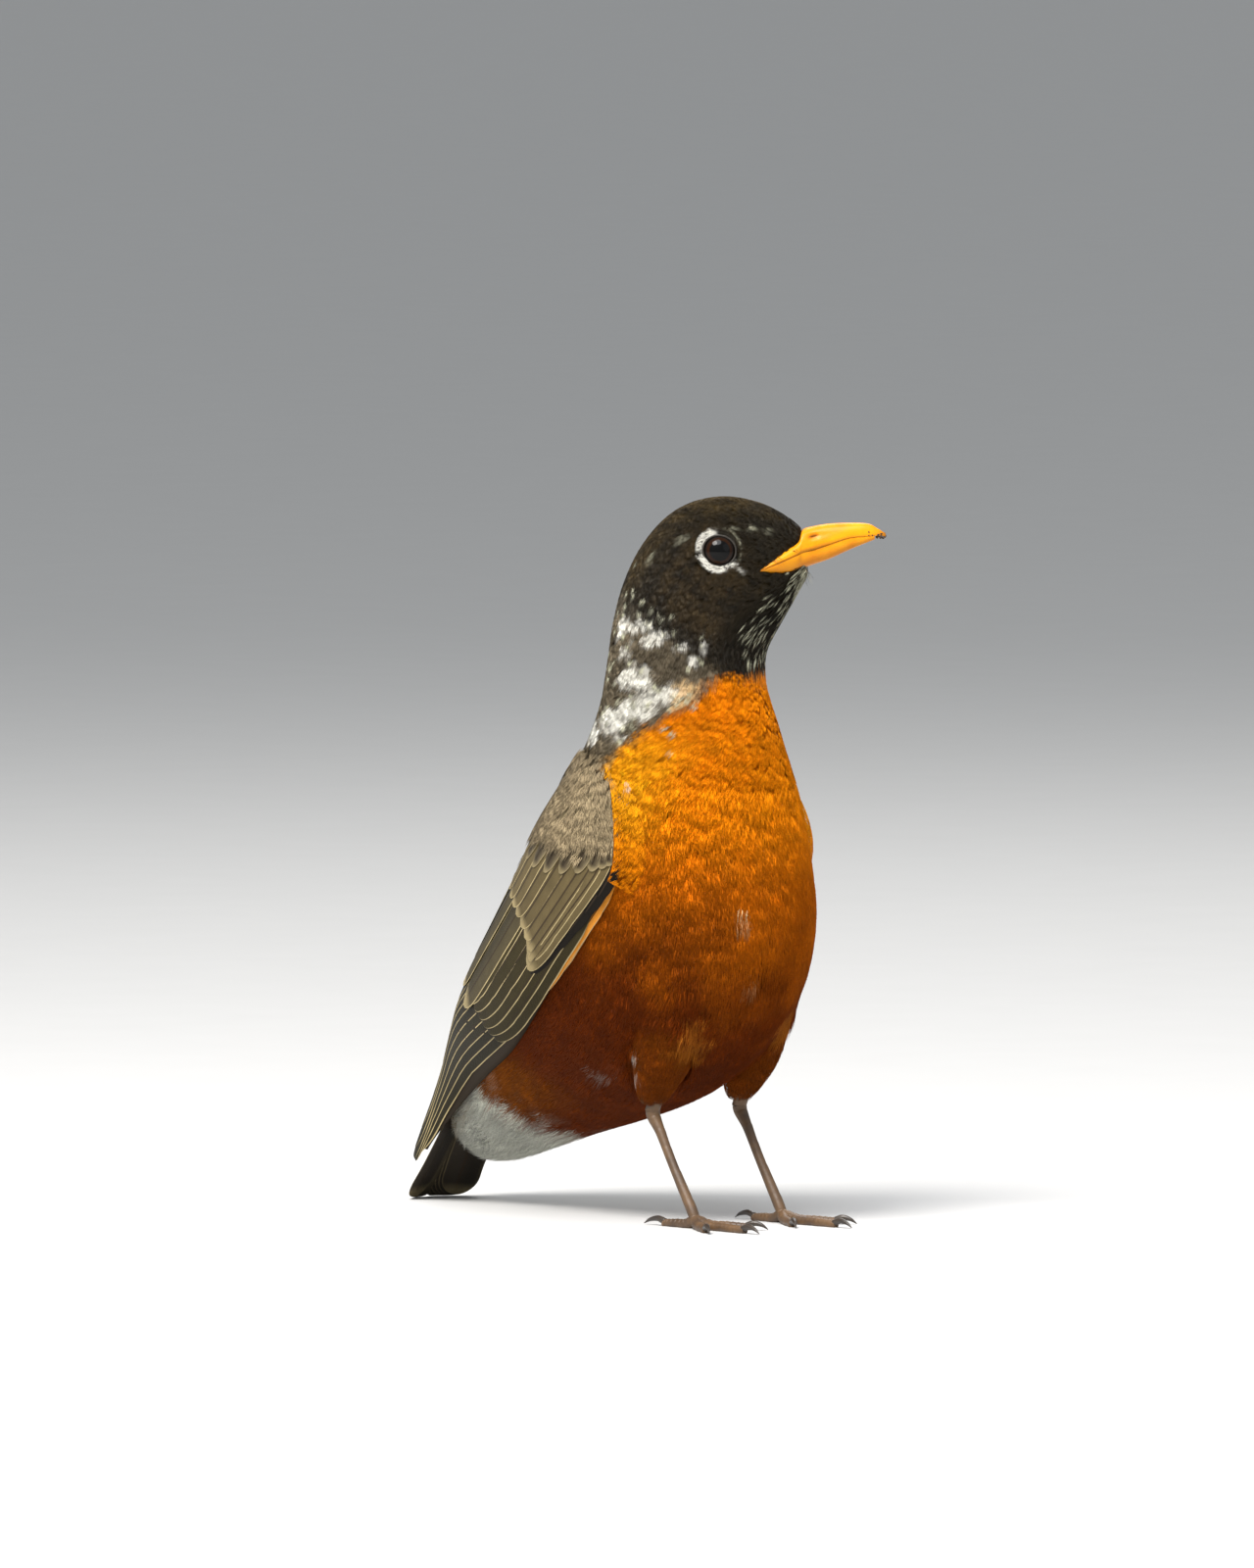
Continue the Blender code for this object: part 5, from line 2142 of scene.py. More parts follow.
    def _plate(self, chart: Chart, material: Any) -> Any:
        """The dark plate under the vanes.

        Args:
            chart: The wing's chart.
            material: Its material.

        Returns:
            The object.
        """
        t, f = np.meshgrid(np.linspace(0.6, 10.6, 90), np.linspace(0.01, 0.99, 30), indexing="ij")
        place, out = chart.place(t, f), chart.out(t, f)
        edge = np.clip(np.minimum(f, 1 - f) * 12, 0, 1)[..., None]
        top = place - out * (2.2 + 0.1 * (1 - edge)) * MM
        low = place - out * (2.5 + 0.4 * edge) * MM
        places = np.concatenate([top.reshape(-1, 3), low.reshape(-1, 3)])
        faces = outward(places, slab_faces(*t.shape))
        obj = add_object("wing_plate_" + self.side.label, places, faces, material)
        tint = rows_of((0.035, 0.028, 0.02), len(places))
        write_attribute(obj.data, "tint", "FLOAT_COLOR", tint)
        return obj

    def _edge(self, chart: Chart, skin: Skin, rear: bool) -> Any:
        """A strip that leads from the wing's front or inner edge down to the body, whose
        feathers lap over the join.

        Args:
            chart: The wing's chart.
            skin: The skin that the strip leads down to.
            rear: Whether it is the inner edge, along the back.

        Returns:
            The object.
        """
        tree = tree_of(skin.obj)
        first, last, width, beyond = (0.45, 5.4, 4.5, 3.5) if rear else (0.3, 3.2, 2.2, 7.0)
        t, share = np.meshgrid(np.linspace(first, last, 70), np.linspace(0, 1, 8), indexing="ij")
        border, inner = float(rear), (1 - 2 * rear) * width / (12 + 18 * t)
        front, top = chart.place(t, 0 * t + border), chart.place(t, border + inner)
        reach = front - unit(top - front) * beyond * MM
        bed = np.zeros_like(reach)
        for i, j in np.ndindex(t.shape):
            place, normal = tree.find_nearest(Vector(reach[i, j]))[:2]
            bed[i, j] = np.array(place) + np.array(normal) * (0.3 if rear else 1.0) * MM
        share = share[..., None]
        corner = front + chart.out(t, 0 * t + border) * 0.1 * MM
        top = top + chart.out(t, border + inner) * (-0.4 if rear else 0.1) * MM
        spots = bed * (1 - share) ** 2 + corner * 2 * share * (1 - share) + top * share**2
        spots, share = spots.reshape(-1, 3), share.ravel()
        faces = grid_faces(*t.shape)
        if (self.side is Side.RIGHT) != rear:
            faces = [face[::-1] for face in faces]
        strip = add_object("edge_ground", spots, faces)
        t, inner = t.ravel(), inner.ravel()
        f = border + inner * (1.6 * share - 0.6)
        out = unit(read_points(strip, "normal"))
        out = out * np.sign(np.median((out * chart.out(t, f)).sum(1)))
        along = unit(chart.place(t + 0.1, f) - chart.place(t, f))
        across = unit(chart.place(t, f + 0.02) - chart.place(t, f))
        mm = spots / MM
        if rear:
            tint, lean = rows_of(PALETTE.mantle, len(t)), -0.15
        else:
            # The breast's edge strip starts from the painted sunlight on the breast's side.
            tint, lean = rows_of(PALETTE.sunny, len(t)), 0.5
            tint = mix(tint, PALETTE.breast, 0.25 + 0.75 * ramp(0.8, 2.4, t)) * 0.9
            pale = ramp(0.35, 0.8, Ripple(35, 2.2).at(mm)) * ramp(1.0, 0.5, t)
            tint = mix(tint, PALETTE.white, 0.8 * pale)
        tint = tint * (1 + 0.15 * Ripple(36, 4).at(mm))[:, None]
        ends = 0.55 * ramp(last - 1.0, last, t) + 0.4 * ramp(first + 0.8, first, t)
        size = np.array((2.6, 5.0, 1.0)) * (1 - ends)[:, None]
        angle = 2 * math.pi * (0.04 + 0.9 * t / (last + 0.1) - 0.5)
        lie = unit(along + lean * across)
        coating = Coating(out, lie, size, angle, 0.975 + 0.01 * share, tint, np.zeros(len(t)))
        coating.write(strip.data)
        return strip

    def _ground(self, chart: Chart) -> Any:
        """The sheet that the small coverts grow on.

        Args:
            chart: The wing's chart.

        Returns:
            The object.
        """
        t, f = np.meshgrid(np.linspace(0, 6, 90), np.linspace(0, 1, 60), indexing="ij")
        faces = grid_faces(*t.shape)
        if self.side is Side.RIGHT:
            faces = [face[::-1] for face in faces]
        self.spots = t, f = t.ravel(), f.ravel()
        place, out = chart.place(t, f), chart.out(t, f)
        spots = place - out * 0.72 * MM
        ground = add_object("covert_ground", spots, faces)
        lie = unit(chart.place(t + 0.2, f) - chart.place(t, f))
        fine, coarse = Ripple(31, 2.4).at(spots / MM), Ripple(32, 8).at(spots / MM)
        tint = np.asarray(PALETTE.mantle) * (1.36 + 0.24 * fine + 0.2 * coarse)[:, None]
        tint = mix(tint, (0.10, 0.08, 0.055), 0.55 * ramp(0.45, 0.8, f))
        size = rows_of((3.4, 7.0, 1.0), len(t))
        size[:, 0] += 0.5 * t
        size *= (1 - 0.4 * ramp(0.9, 0.1, t))[:, None]
        angle, rims = 2 * math.pi * (0.05 + 0.9 * t / 6 - 0.5), 0.25 + 0.3 * np.abs(coarse)
        Coating(out, lie, size, angle, 0.02 + 0.94 * f, tint, rims).write(ground.data)
        return ground


@dataclass
class Tail:
    """The folded tail: twelve feathers laid down the back's line to the floor."""

    root: tuple[float, float] = (87.0, 49.6)
    slope: float = 56.0
    length: float = 59.2
    half_widths: list[float] = field(default_factory=lambda: [7.4, 8.4, 9.2, 10.0, 11.2, 13.2])
    drop: float = 3.6
    pairs: int = 6
    vane: tuple[float, float] = (5.2, 5.2)
    colour: Colour = (0.046, 0.037, 0.027)

    def chart(self) -> Chart:
        """The tail's upper surface, from 0 to 1 along and from -1 to 1 across.

        Returns:
            The chart.
        """
        t, f = np.meshgrid(np.linspace(0, 1, 60), np.linspace(-1, 1, 33), indexing="ij")
        lean = math.radians(self.slope)
        short = 2.6 * np.abs(f) ** 2.4 * np.maximum(4 * t - 3, 0)
        sink = 0.6 + 1.4 * np.minimum(2 * t, 1) + self.drop * np.abs(f) ** 1.6
        reach = self.length * t - short
        x = smooth(self.half_widths, 5 * t) * f
        y = self.root[0] + reach * math.cos(lean) - sink * math.sin(lean)
        z = self.root[1] - reach * math.sin(lean) - sink * math.cos(lean)
        return Chart(standing(np.stack([x, y, z], -1)), 1.0, -1.0, 1.0)

    def build(self, finishes: Finishes) -> None:
        """Makes the tail and hands it over.

        Args:
            finishes: The object's finishes.
        """
        quills = []
        for pair in range(self.pairs):
            share = pair / (self.pairs - 1)
            for side in (-1, 1):
                root, tip = side * (0.42 - 0.3 * share), side * (0.56 - 0.36 * share)
                sink = 1.25 - 1.1 * share + 0.05 * (side > 0)
                place = (0.0, root), (0.955 + 0.03 * share, tip)
                look = {"round": 0.12, "tipped": 0.0 if pair else 0.7}
                quills.append(Quill(*place, *self.vane, sink, self.colour, 0.45, **look))
        piece = VaneMaker().build("tail_feathers", self.chart(), quills, finishes.vane, 71)
        for vertex in piece.data.vertices:
            vertex.co.z = max(vertex.co.z, 0.1 * MM)
        hand_over(piece, "vanes", "tail")


# ---------------------------------------------------------------- eyes, bill, legs


@dataclass
class Eye:
    """An eye: the wet ball, its rim of skin, and the broken white ring of tiny feathers."""

    side: Side
    radius: float = EYE_RADIUS
    opening: float = 3.5
    rim: float = 0.24
    ring: tuple[float, float] = (3.75, 6.1)

    def __post_init__(self) -> None:
        """Finds the eye's middle and the directions out, ahead and up."""
        ahead, out, up = EYE
        self.middle = placed(np.array(ahead), np.array(self.side.value * out), up)
        tip = placed(np.array(ahead + 0.8), np.array(self.side.value * (out + 10)), up + 0.4)
        self.axis = unit(tip - self.middle)
        front = placed(np.array(ahead + 10), np.array(self.side.value * out), up) - self.middle
        self.front = unit(front - self.axis * (front @ self.axis))
        self.top = unit(np.cross(self.axis, self.front))
        self.top *= np.sign(self.top[2])

    def spot(self, radius: Array, turn: Array, height: Array) -> Array:
        """Places round the eye's axis.

        Args:
            radius: How far from the axis, in mm.
            turn: Degrees from ahead towards up.
            height: How far out along the axis.

        Returns:
            The places, in metres.
        """
        c, s = np.cos(np.radians(turn))[..., None], np.sin(np.radians(turn))[..., None]
        aside = (self.front * c + self.top * s) * np.asarray(radius)[..., None]
        return self.middle + (aside + self.axis * np.asarray(height)[..., None]) * MM

    def build(self, skin: Skin, coats: CoatTree, tuft: Any, finishes: Finishes) -> None:
        """Makes the eye's pieces and hands them over.

        Args:
            skin: The skin round it.
            coats: The tree that grows the ring's feathers.
            tuft: The unit feather for them.
            finishes: The materials.
        """
        name = self.side.label
        form = bmesh.new()
        bmesh.ops.create_uvsphere(form, u_segments=56, v_segments=40, radius=self.radius * MM)
        ball = from_form("eyeball_" + name, form, finishes.eye)
        places = read_points(ball)
        gaze = np.arccos(np.clip(unit(places) @ self.axis, -1, 1))
        swell = 1 + 0.035 * ramp(0.95, 0.2, gaze)
        ball.data.vertices.foreach_set("co", (places * swell[:, None] + self.middle).ravel())
        write_attribute(ball.data, "gaze", "FLOAT", gaze)
        hand_over(ball, "eye", "eye_" + name)
        hand_over(self._lid(name, finishes.lid), "leg", "eye_" + name)
        ring = self._ring(skin)
        piece = coats.grow(
            "eye_ring_" + name, ring, np.ones(len(ring.data.vertices)), tuft, finishes.hood,
            Spacing=0.24, Size=1.25, Spread=0.15, Yaw=0.18, Seed=90,
        )
        bpy.data.objects.remove(ring)
        hand_over(piece, "plumage", "head")

    def _lid(self, name: str, material: Any) -> Any:
        """The rim of skin round the opening.

        Args:
            name: The side.
            material: Its material.

        Returns:
            The object.
        """
        steps = np.linspace(0, 360, 96, False), np.radians(np.linspace(0, 360, 14, False))
        turn, roll = np.meshgrid(*steps, indexing="ij")
        rim = self.rim * (1 + 0.12 * np.sin(np.radians(turn) * 17) * (np.cos(roll) > 0.2))
        long = 1 + 0.045 * np.cos(np.radians(2 * (turn + 14)))
        radius = (self.opening + 0.42) * long + rim * np.cos(roll)
        height = math.sqrt(self.radius**2 - self.opening**2) - 0.22 + rim * 1.1 * np.sin(roll)
        places = self.spot(radius, turn, height).reshape(-1, 3)
        faces = outward(places, grid_faces(*turn.shape, wrapped=True, looped=True))
        return add_object("eye_rim_" + name, places, faces, material)

    def _ring(self, skin: Skin) -> Any:
        """The band of skin round the eye that the ring's feathers grow on.

        Args:
            skin: The skin.

        Returns:
            The object, with the coat's attributes.
        """
        tree = tree_of(skin.obj)
        turn, radius = np.meshgrid(
            np.linspace(0, 360, 120, False), np.linspace(*self.ring, 9), indexing="ij"
        )
        faces = grid_faces(*turn.shape, looped=True)
        if self.side is Side.LEFT:
            faces = [face[::-1] for face in faces]
        turn, radius = turn.ravel(), radius.ravel()
        height = np.zeros(len(turn))
        for k, place in enumerate(self.spot(radius, turn, height + 12.0)):
            hit = tree.ray_cast(Vector(place), Vector(-self.axis), 0.03)[0]
            height[k] = (np.array(hit) - self.middle) @ self.axis / MM if hit is not None else 0.0
        dome = np.sqrt(np.maximum((self.radius + 0.1) ** 2 - radius**2, 0.0))
        height = np.maximum(height + 0.3, dome - 0.1)
        places = self.spot(radius, turn, height)
        obj = add_object("ring_ground", places, faces)
        away = unit(self.spot(radius + 1, turn, height) - places)
        after = unit(self.spot(radius, turn + 2, height) - places)
        back = after * np.where(turn < 196, 1.0, -1.0)[:, None] - self.front * 0.3
        out = unit(read_points(obj, "normal"))
        out *= np.sign((out @ self.axis))[:, None]
        tint = self._ring_tint(turn, radius)
        size, height = rows_of((0.34, 0.95, 0.40), len(turn)), 0.1 + 0.1 * (radius - 3.5)
        lie, rims = unit(0.35 * away + back), np.zeros(len(turn))
        Coating(out, lie, size, np.radians(turn), height, tint, rims).write(obj.data)
        return obj

    @staticmethod
    def _ring_tint(turn: Array, radius: Array) -> Array:
        """The ring's colours: white above and below, with a gap before and behind the eye.

        Args:
            turn: Degrees from ahead towards up.
            radius: How far from the eye's axis, in mm.

        Returns:
            The colours.
        """
        edge = 5.1 + 0.5 * np.cos(np.radians(turn - 128))
        upper = ramp(84, 100, turn) * ramp(182, 172, turn) * ramp(0.15, -0.15, radius - edge)
        edge = 4.95 + 0.55 * np.abs(np.cos(np.radians(turn - 268))) ** 3
        edge += 0.6 * ramp(215, 200, turn) + 0.7 * ramp(305, 325, turn)
        lower = ramp(194, 201, turn) * ramp(342, 326, turn) * ramp(0.15, -0.15, radius - edge)
        front = 0.45 * ramp(5.0, 5.2, radius) * ramp(5.8, 5.6, radius)
        front *= np.maximum(ramp(100, 80, turn), ramp(325, 345, turn))
        tint = mix(rows_of(PALETTE.hood, len(turn)), PALETTE.streak, front)
        return mix(tint, PALETTE.white, np.maximum(upper, lower))


class Horn(Enum):
    """The bill's halves: last station, squareness, its loss at the root, and how much the root is
    darkened.
    """

    UPPER = (10.0, 0.92, 0.42, 0.20)
    LOWER = (8.7, 0.62, 0.22, 0.34)


@dataclass
class Bill:
    """The bill: two horny halves with a nostril in a groove, and crumbs of soil at the tip."""

    # ahead, top of the upper half, mouth, bottom of the lower half, half-width
    sections: list[tuple[float, float, float, float, float]] = field(
        default_factory=lambda: [
            (18.2, 161.3, 160.9, 160.5, 9.4),
            (21.2, 164.0, 162.0, 159.6, 8.3),
            (23.9, 165.7, 163.1, 159.5, 7.3),
            (27.4, 167.9, 164.6, 160.5, 5.6),
            (28.6, 170.5, 165.1, 161.0, 4.7),
            (31.4, 171.4, 165.9, 162.0, 3.9),
            (35.2, 172.0, 167.1, 163.3, 3.3),
            (40.0, 172.2, 168.6, 165.5, 2.6),
            (44.6, 172.0, 169.0, 167.4, 1.8),
            (46.9, 170.9, 169.1, 168.2, 1.2),
            (49.0, 169.6, 168.9, 168.3, 0.5),
        ]
    )
    nostril: tuple[float, float, float, float] = (31.4, 169.0, 1.3, 0.3)
    crumbs: int = 26

    def _half(self, horn: Horn, material: Any) -> Any:
        """One half of the bill.

        Args:
            horn: Which half it is.
            material: The horn's material.

        Returns:
            The object.
        """
        upper = horn is Horn.UPPER
        last, square, loss, shade = horn.value
        stations = np.linspace(0, last, 120)
        turns = np.linspace(0, 2 * math.pi, 44, False)
        t, angle = np.meshgrid(stations, turns, indexing="ij")
        ahead, top, mouth, bottom, half = np.moveaxis(smooth(self.sections, t), -1, 0)
        c, s = np.cos(angle), np.sin(angle)
        if not upper:
            mouth = mouth - 0.12
            half = half * (0.94 + 0.09 * ramp(32, 27, ahead))
        rise = np.where(c > 0, top - mouth, -0.1) if upper else np.where(c > 0, 0.1, mouth - bottom)
        up = mouth + np.sign(c) * np.abs(c) ** 0.88 * np.abs(rise)
        up = np.where((c < 0) if upper else (c > 0), mouth + 0.1 * c, up)
        square = square - loss * ramp(31, 26, ahead)
        out = np.sign(s) * np.abs(s) ** square * half
        # Painted shade: darker along the mouth line near the root, in the slit between the halves.
        stain = 0.6 * np.exp(-(((up - mouth) / 0.4) ** 2)) * ramp(40, 25, ahead)
        if upper:
            a, z, long, high = self.nostril
            lean = (up - z) - 0.14 * (ahead - a)
            pit = np.exp(-(((ahead - a) / long) ** 2 + (lean / high) ** 2) ** 1.5)
            groove = np.exp(-(((ahead - a - 1.6) / 3.2) ** 2 + ((lean - 0.1) / 0.8) ** 2))
            out = out * (1 - (0.30 * pit + 0.10 * groove) * (np.abs(s) > 0.2))
            # Painted shade in the nostril's pit; the dusky tip is the horn's own colour.
            stain = np.maximum.reduce([stain, 0.95 * pit, 0.7 * ramp(46.6, 49.0, ahead)])
        else:
            # The lower half is darker along its underside.
            stain = np.maximum(stain, 0.30 * ramp(0.2, 0.9, -c))
        base = ramp(33, 21, ahead) * shade
        lines = Ripple(51, 3.0).at(np.stack([ahead * 0.25, out * 0.3, up], -1).reshape(-1, 3))
        base = base * np.clip(0.7 + 0.6 * lines.reshape(t.shape), 0, 1.2)
        stain = np.clip(np.maximum(stain, base), 0, 1)
        name = "bill_horn_" + horn.name.lower()
        obj = add_object(name, *closed_tube(placed(ahead, out, up)), material)
        write_attribute(obj.data, "stain", "FLOAT", np.append(stain.ravel(), [0.5, 0.8]))
        return obj

    def _crumbs(self, material: Any) -> Any:
        """Crumbs of soil along the mouth's edge near the tip.

        Args:
            material: The soil's material.

        Returns:
            The object.
        """
        rng = np.random.default_rng(17)
        form = bmesh.new()
        for _ in range(self.crumbs):
            share = rng.beta(2.4, 1.2)
            ahead, _top, mouth, _bottom, half = smooth(self.sections, 7.2 + 2.75 * share)
            side = 1 if rng.random() < 0.4 else -1
            out = side * half * rng.uniform(0.8, 1.02)
            up = mouth + rng.normal(0.15, 0.28)
            centre = placed(np.array(ahead), np.array(out), up)
            size = rng.uniform(0.14, 0.42) * MM * (0.6 + 0.5 * share)
            made = bmesh.ops.create_icosphere(form, subdivisions=2, radius=size)["verts"]
            stretch = rng.uniform(0.6, 1.3, 3)
            for vertex in made:
                wave = math.sin(vertex.co.x * 9000 + share * 20) * math.cos(vertex.co.y * 8000)
                vertex.co = Vector(np.array(vertex.co) * stretch * (1 + 0.35 * wave) + centre)
        bmesh.ops.recalc_face_normals(form, faces=form.faces)
        return from_form("bill_soil", form, material)

    def build(self, finishes: Finishes) -> tuple[Any, Any]:
        """Makes the bill and hands it over.

        Args:
            finishes: The object's finishes.

        Returns:
            The upper and the lower half.
        """
        upper, lower = (self._half(horn, finishes.bill) for horn in Horn)
        hand_over(upper, "bill", "bill_upper")
        hand_over(lower, "bill", "bill_lower")
        hand_over(self._crumbs(finishes.soil), "bill", "bill_upper")
        return upper, lower


@dataclass
class Bristles:
    """Fine hairs about the bill: pale wisps under the chin and black bristles at the gape.

    Places are ahead, out and up in mm.
    """

    seed: int = 23
    chin_hairs: int = 200
    chin_rear: tuple = (21.0, 5.8, 158.4)  # its place ahead, half its width, and its height
    chin_run: float = 8.6
    chin_taper: float = 2.2
    chin_rise: float = 1.5
    chin_cup: float = 0.9
    chin_white: float = 0.72
    wisps: int = 46
    wisp_reach: tuple = (26.0, 29.6)
    wisp_half: float = 2.6
    wisp_height: float = 160.6
    wisp_width: float = 0.09
    wisp_white: float = 0.4
    gape_hairs: int = 8
    gape_reach: tuple = (20.5, 27.5)
    gape_rear: tuple = (18.6, 9.0)  # its place ahead, and how far out it is there
    gape_closing: float = 0.42
    gape_low: tuple = (19.5, 162.6)  # its place ahead, and its height there
    gape_rise: float = 0.45
    gape_width: float = 0.10

    @staticmethod
    def _hair(root: Array, course: Array, droop: Array, length: float, width: float) -> tuple:
        """One tapering curved hair.

        Args:
            root: Where it starts, as ahead, out and up in mm.
            course: The way it starts.
            droop: The way it bends to.
            length: Its length.
            width: Its width at the root.

        Returns:
            Its points and faces.
        """
        places = []
        side = unit(np.cross(course, (0.3, 0.9, 0.2)))
        other = np.cross(course, side)
        for share in (0.0, 0.35, 0.7):
            spot = root + course * length * share + droop * length * share**2
            for k in range(3):
                angle = k * 2 * math.pi / 3
                reach = width / 2 * (1 - 0.7 * share)
                places.append(spot + (side * math.cos(angle) + other * math.sin(angle)) * reach)
        places.append(root + course * length + droop * length)
        return placed(*np.array(places).T), spike_faces(3)

    def _chin(self, rng: Any) -> list[tuple]:
        """The chin's short soft hairs, which close in and rise towards the bill's tip.

        Args:
            rng: The random draws.

        Returns:
            Each hair, as its points and faces, and its colour.
        """
        made = []
        rear, half_width, low = self.chin_rear
        for _ in range(self.chin_hairs):
            share = rng.uniform(0, 1)
            half = half_width - self.chin_taper * share
            out = rng.uniform(-1, 1) * half
            up = low + self.chin_rise * share + self.chin_cup * abs(out) / half + rng.normal(0, 0.15)
            root = np.array([rear + self.chin_run * share, out, up])
            course = unit(np.array([-0.25, 0.05 * out, -0.5]) + rng.normal(0, 0.2, 3))
            droop = np.array([-0.45, 0.0, -0.2]) * rng.uniform(0.4, 1.2)
            hair = self._hair(root, course, droop, rng.uniform(1.0, 2.6), rng.uniform(0.14, 0.24))
            made.append((hair, PALETTE.streak if rng.random() < self.chin_white else PALETTE.hood))
        return made

    def _wisps(self, rng: Any) -> list[tuple]:
        """The longer loose hairs under the bill's root.

        Args:
            rng: The random draws.

        Returns:
            Each hair, as its points and faces, and its colour.
        """
        made = []
        for _ in range(self.wisps):
            out = rng.uniform(-self.wisp_half, self.wisp_half)
            root = np.array([rng.uniform(*self.wisp_reach), out, self.wisp_height + 0.12 * abs(out)])
            course = unit(np.array([0.30, 0.12 * out, -0.65]) + rng.normal(0, 0.2, 3))
            droop = np.array([0.15, 0.0, -0.35]) * rng.uniform(-0.3, 1.2)
            hair = self._hair(root, course, droop, rng.uniform(1.6, 4.2), self.wisp_width)
            made.append((hair, PALETTE.streak if rng.random() < self.wisp_white else PALETTE.hood))
        return made

    def _gape(self, rng: Any) -> list[tuple]:
        """The stiff black bristles along each side's gape.

        Args:
            rng: The random draws.

        Returns:
            Each hair, as its points and faces, and its colour.
        """
        made = []
        (rear, wide), (bottom, low) = self.gape_rear, self.gape_low
        for side in Side:
            for _ in range(self.gape_hairs):
                ahead = rng.uniform(*self.gape_reach)
                out = side.value * (wide - self.gape_closing * (ahead - rear))
                root = np.array([ahead, out, low + self.gape_rise * (ahead - bottom)])
                course = unit(np.array([0.8, 0.34 * side.value, -0.25]) + rng.normal(0, 0.12, 3))
                droop = np.array([0.0, 0.0, -0.3])
                hair = self._hair(root, course, droop, rng.uniform(1.2, 2.8), self.gape_width)
                made.append((hair, PALETTE.hood))
        return made

    @staticmethod
    def _piece(name: str, made: list[tuple], material: Any) -> None:
        """Joins hairs into one object and hands it over.

        Args:
            name: The object's name.
            made: Each hair, as its points and faces, and its colour.
            material: Their material.
        """
        hairs, colours = zip(*made)
        places, faces = gather(list(hairs))
        obj = add_object(name, places, outward(places, faces), material)
        tints = np.repeat(np.array(colours), [len(hair[0]) for hair in hairs], axis=0)
        write_attribute(obj.data, "tint", "FLOAT_COLOR", tints)
        hand_over(obj, "plumage", "head")

    def build(self, finishes: Finishes) -> None:
        """Makes the hairs and hands them over.

        Args:
            finishes: The object's finishes.
        """
        rng = np.random.default_rng(self.seed)
        self._piece("chin_wisps", self._chin(rng) + self._wisps(rng), finishes.hood)
        self._piece("gape_bristles", self._gape(rng), finishes.hood)


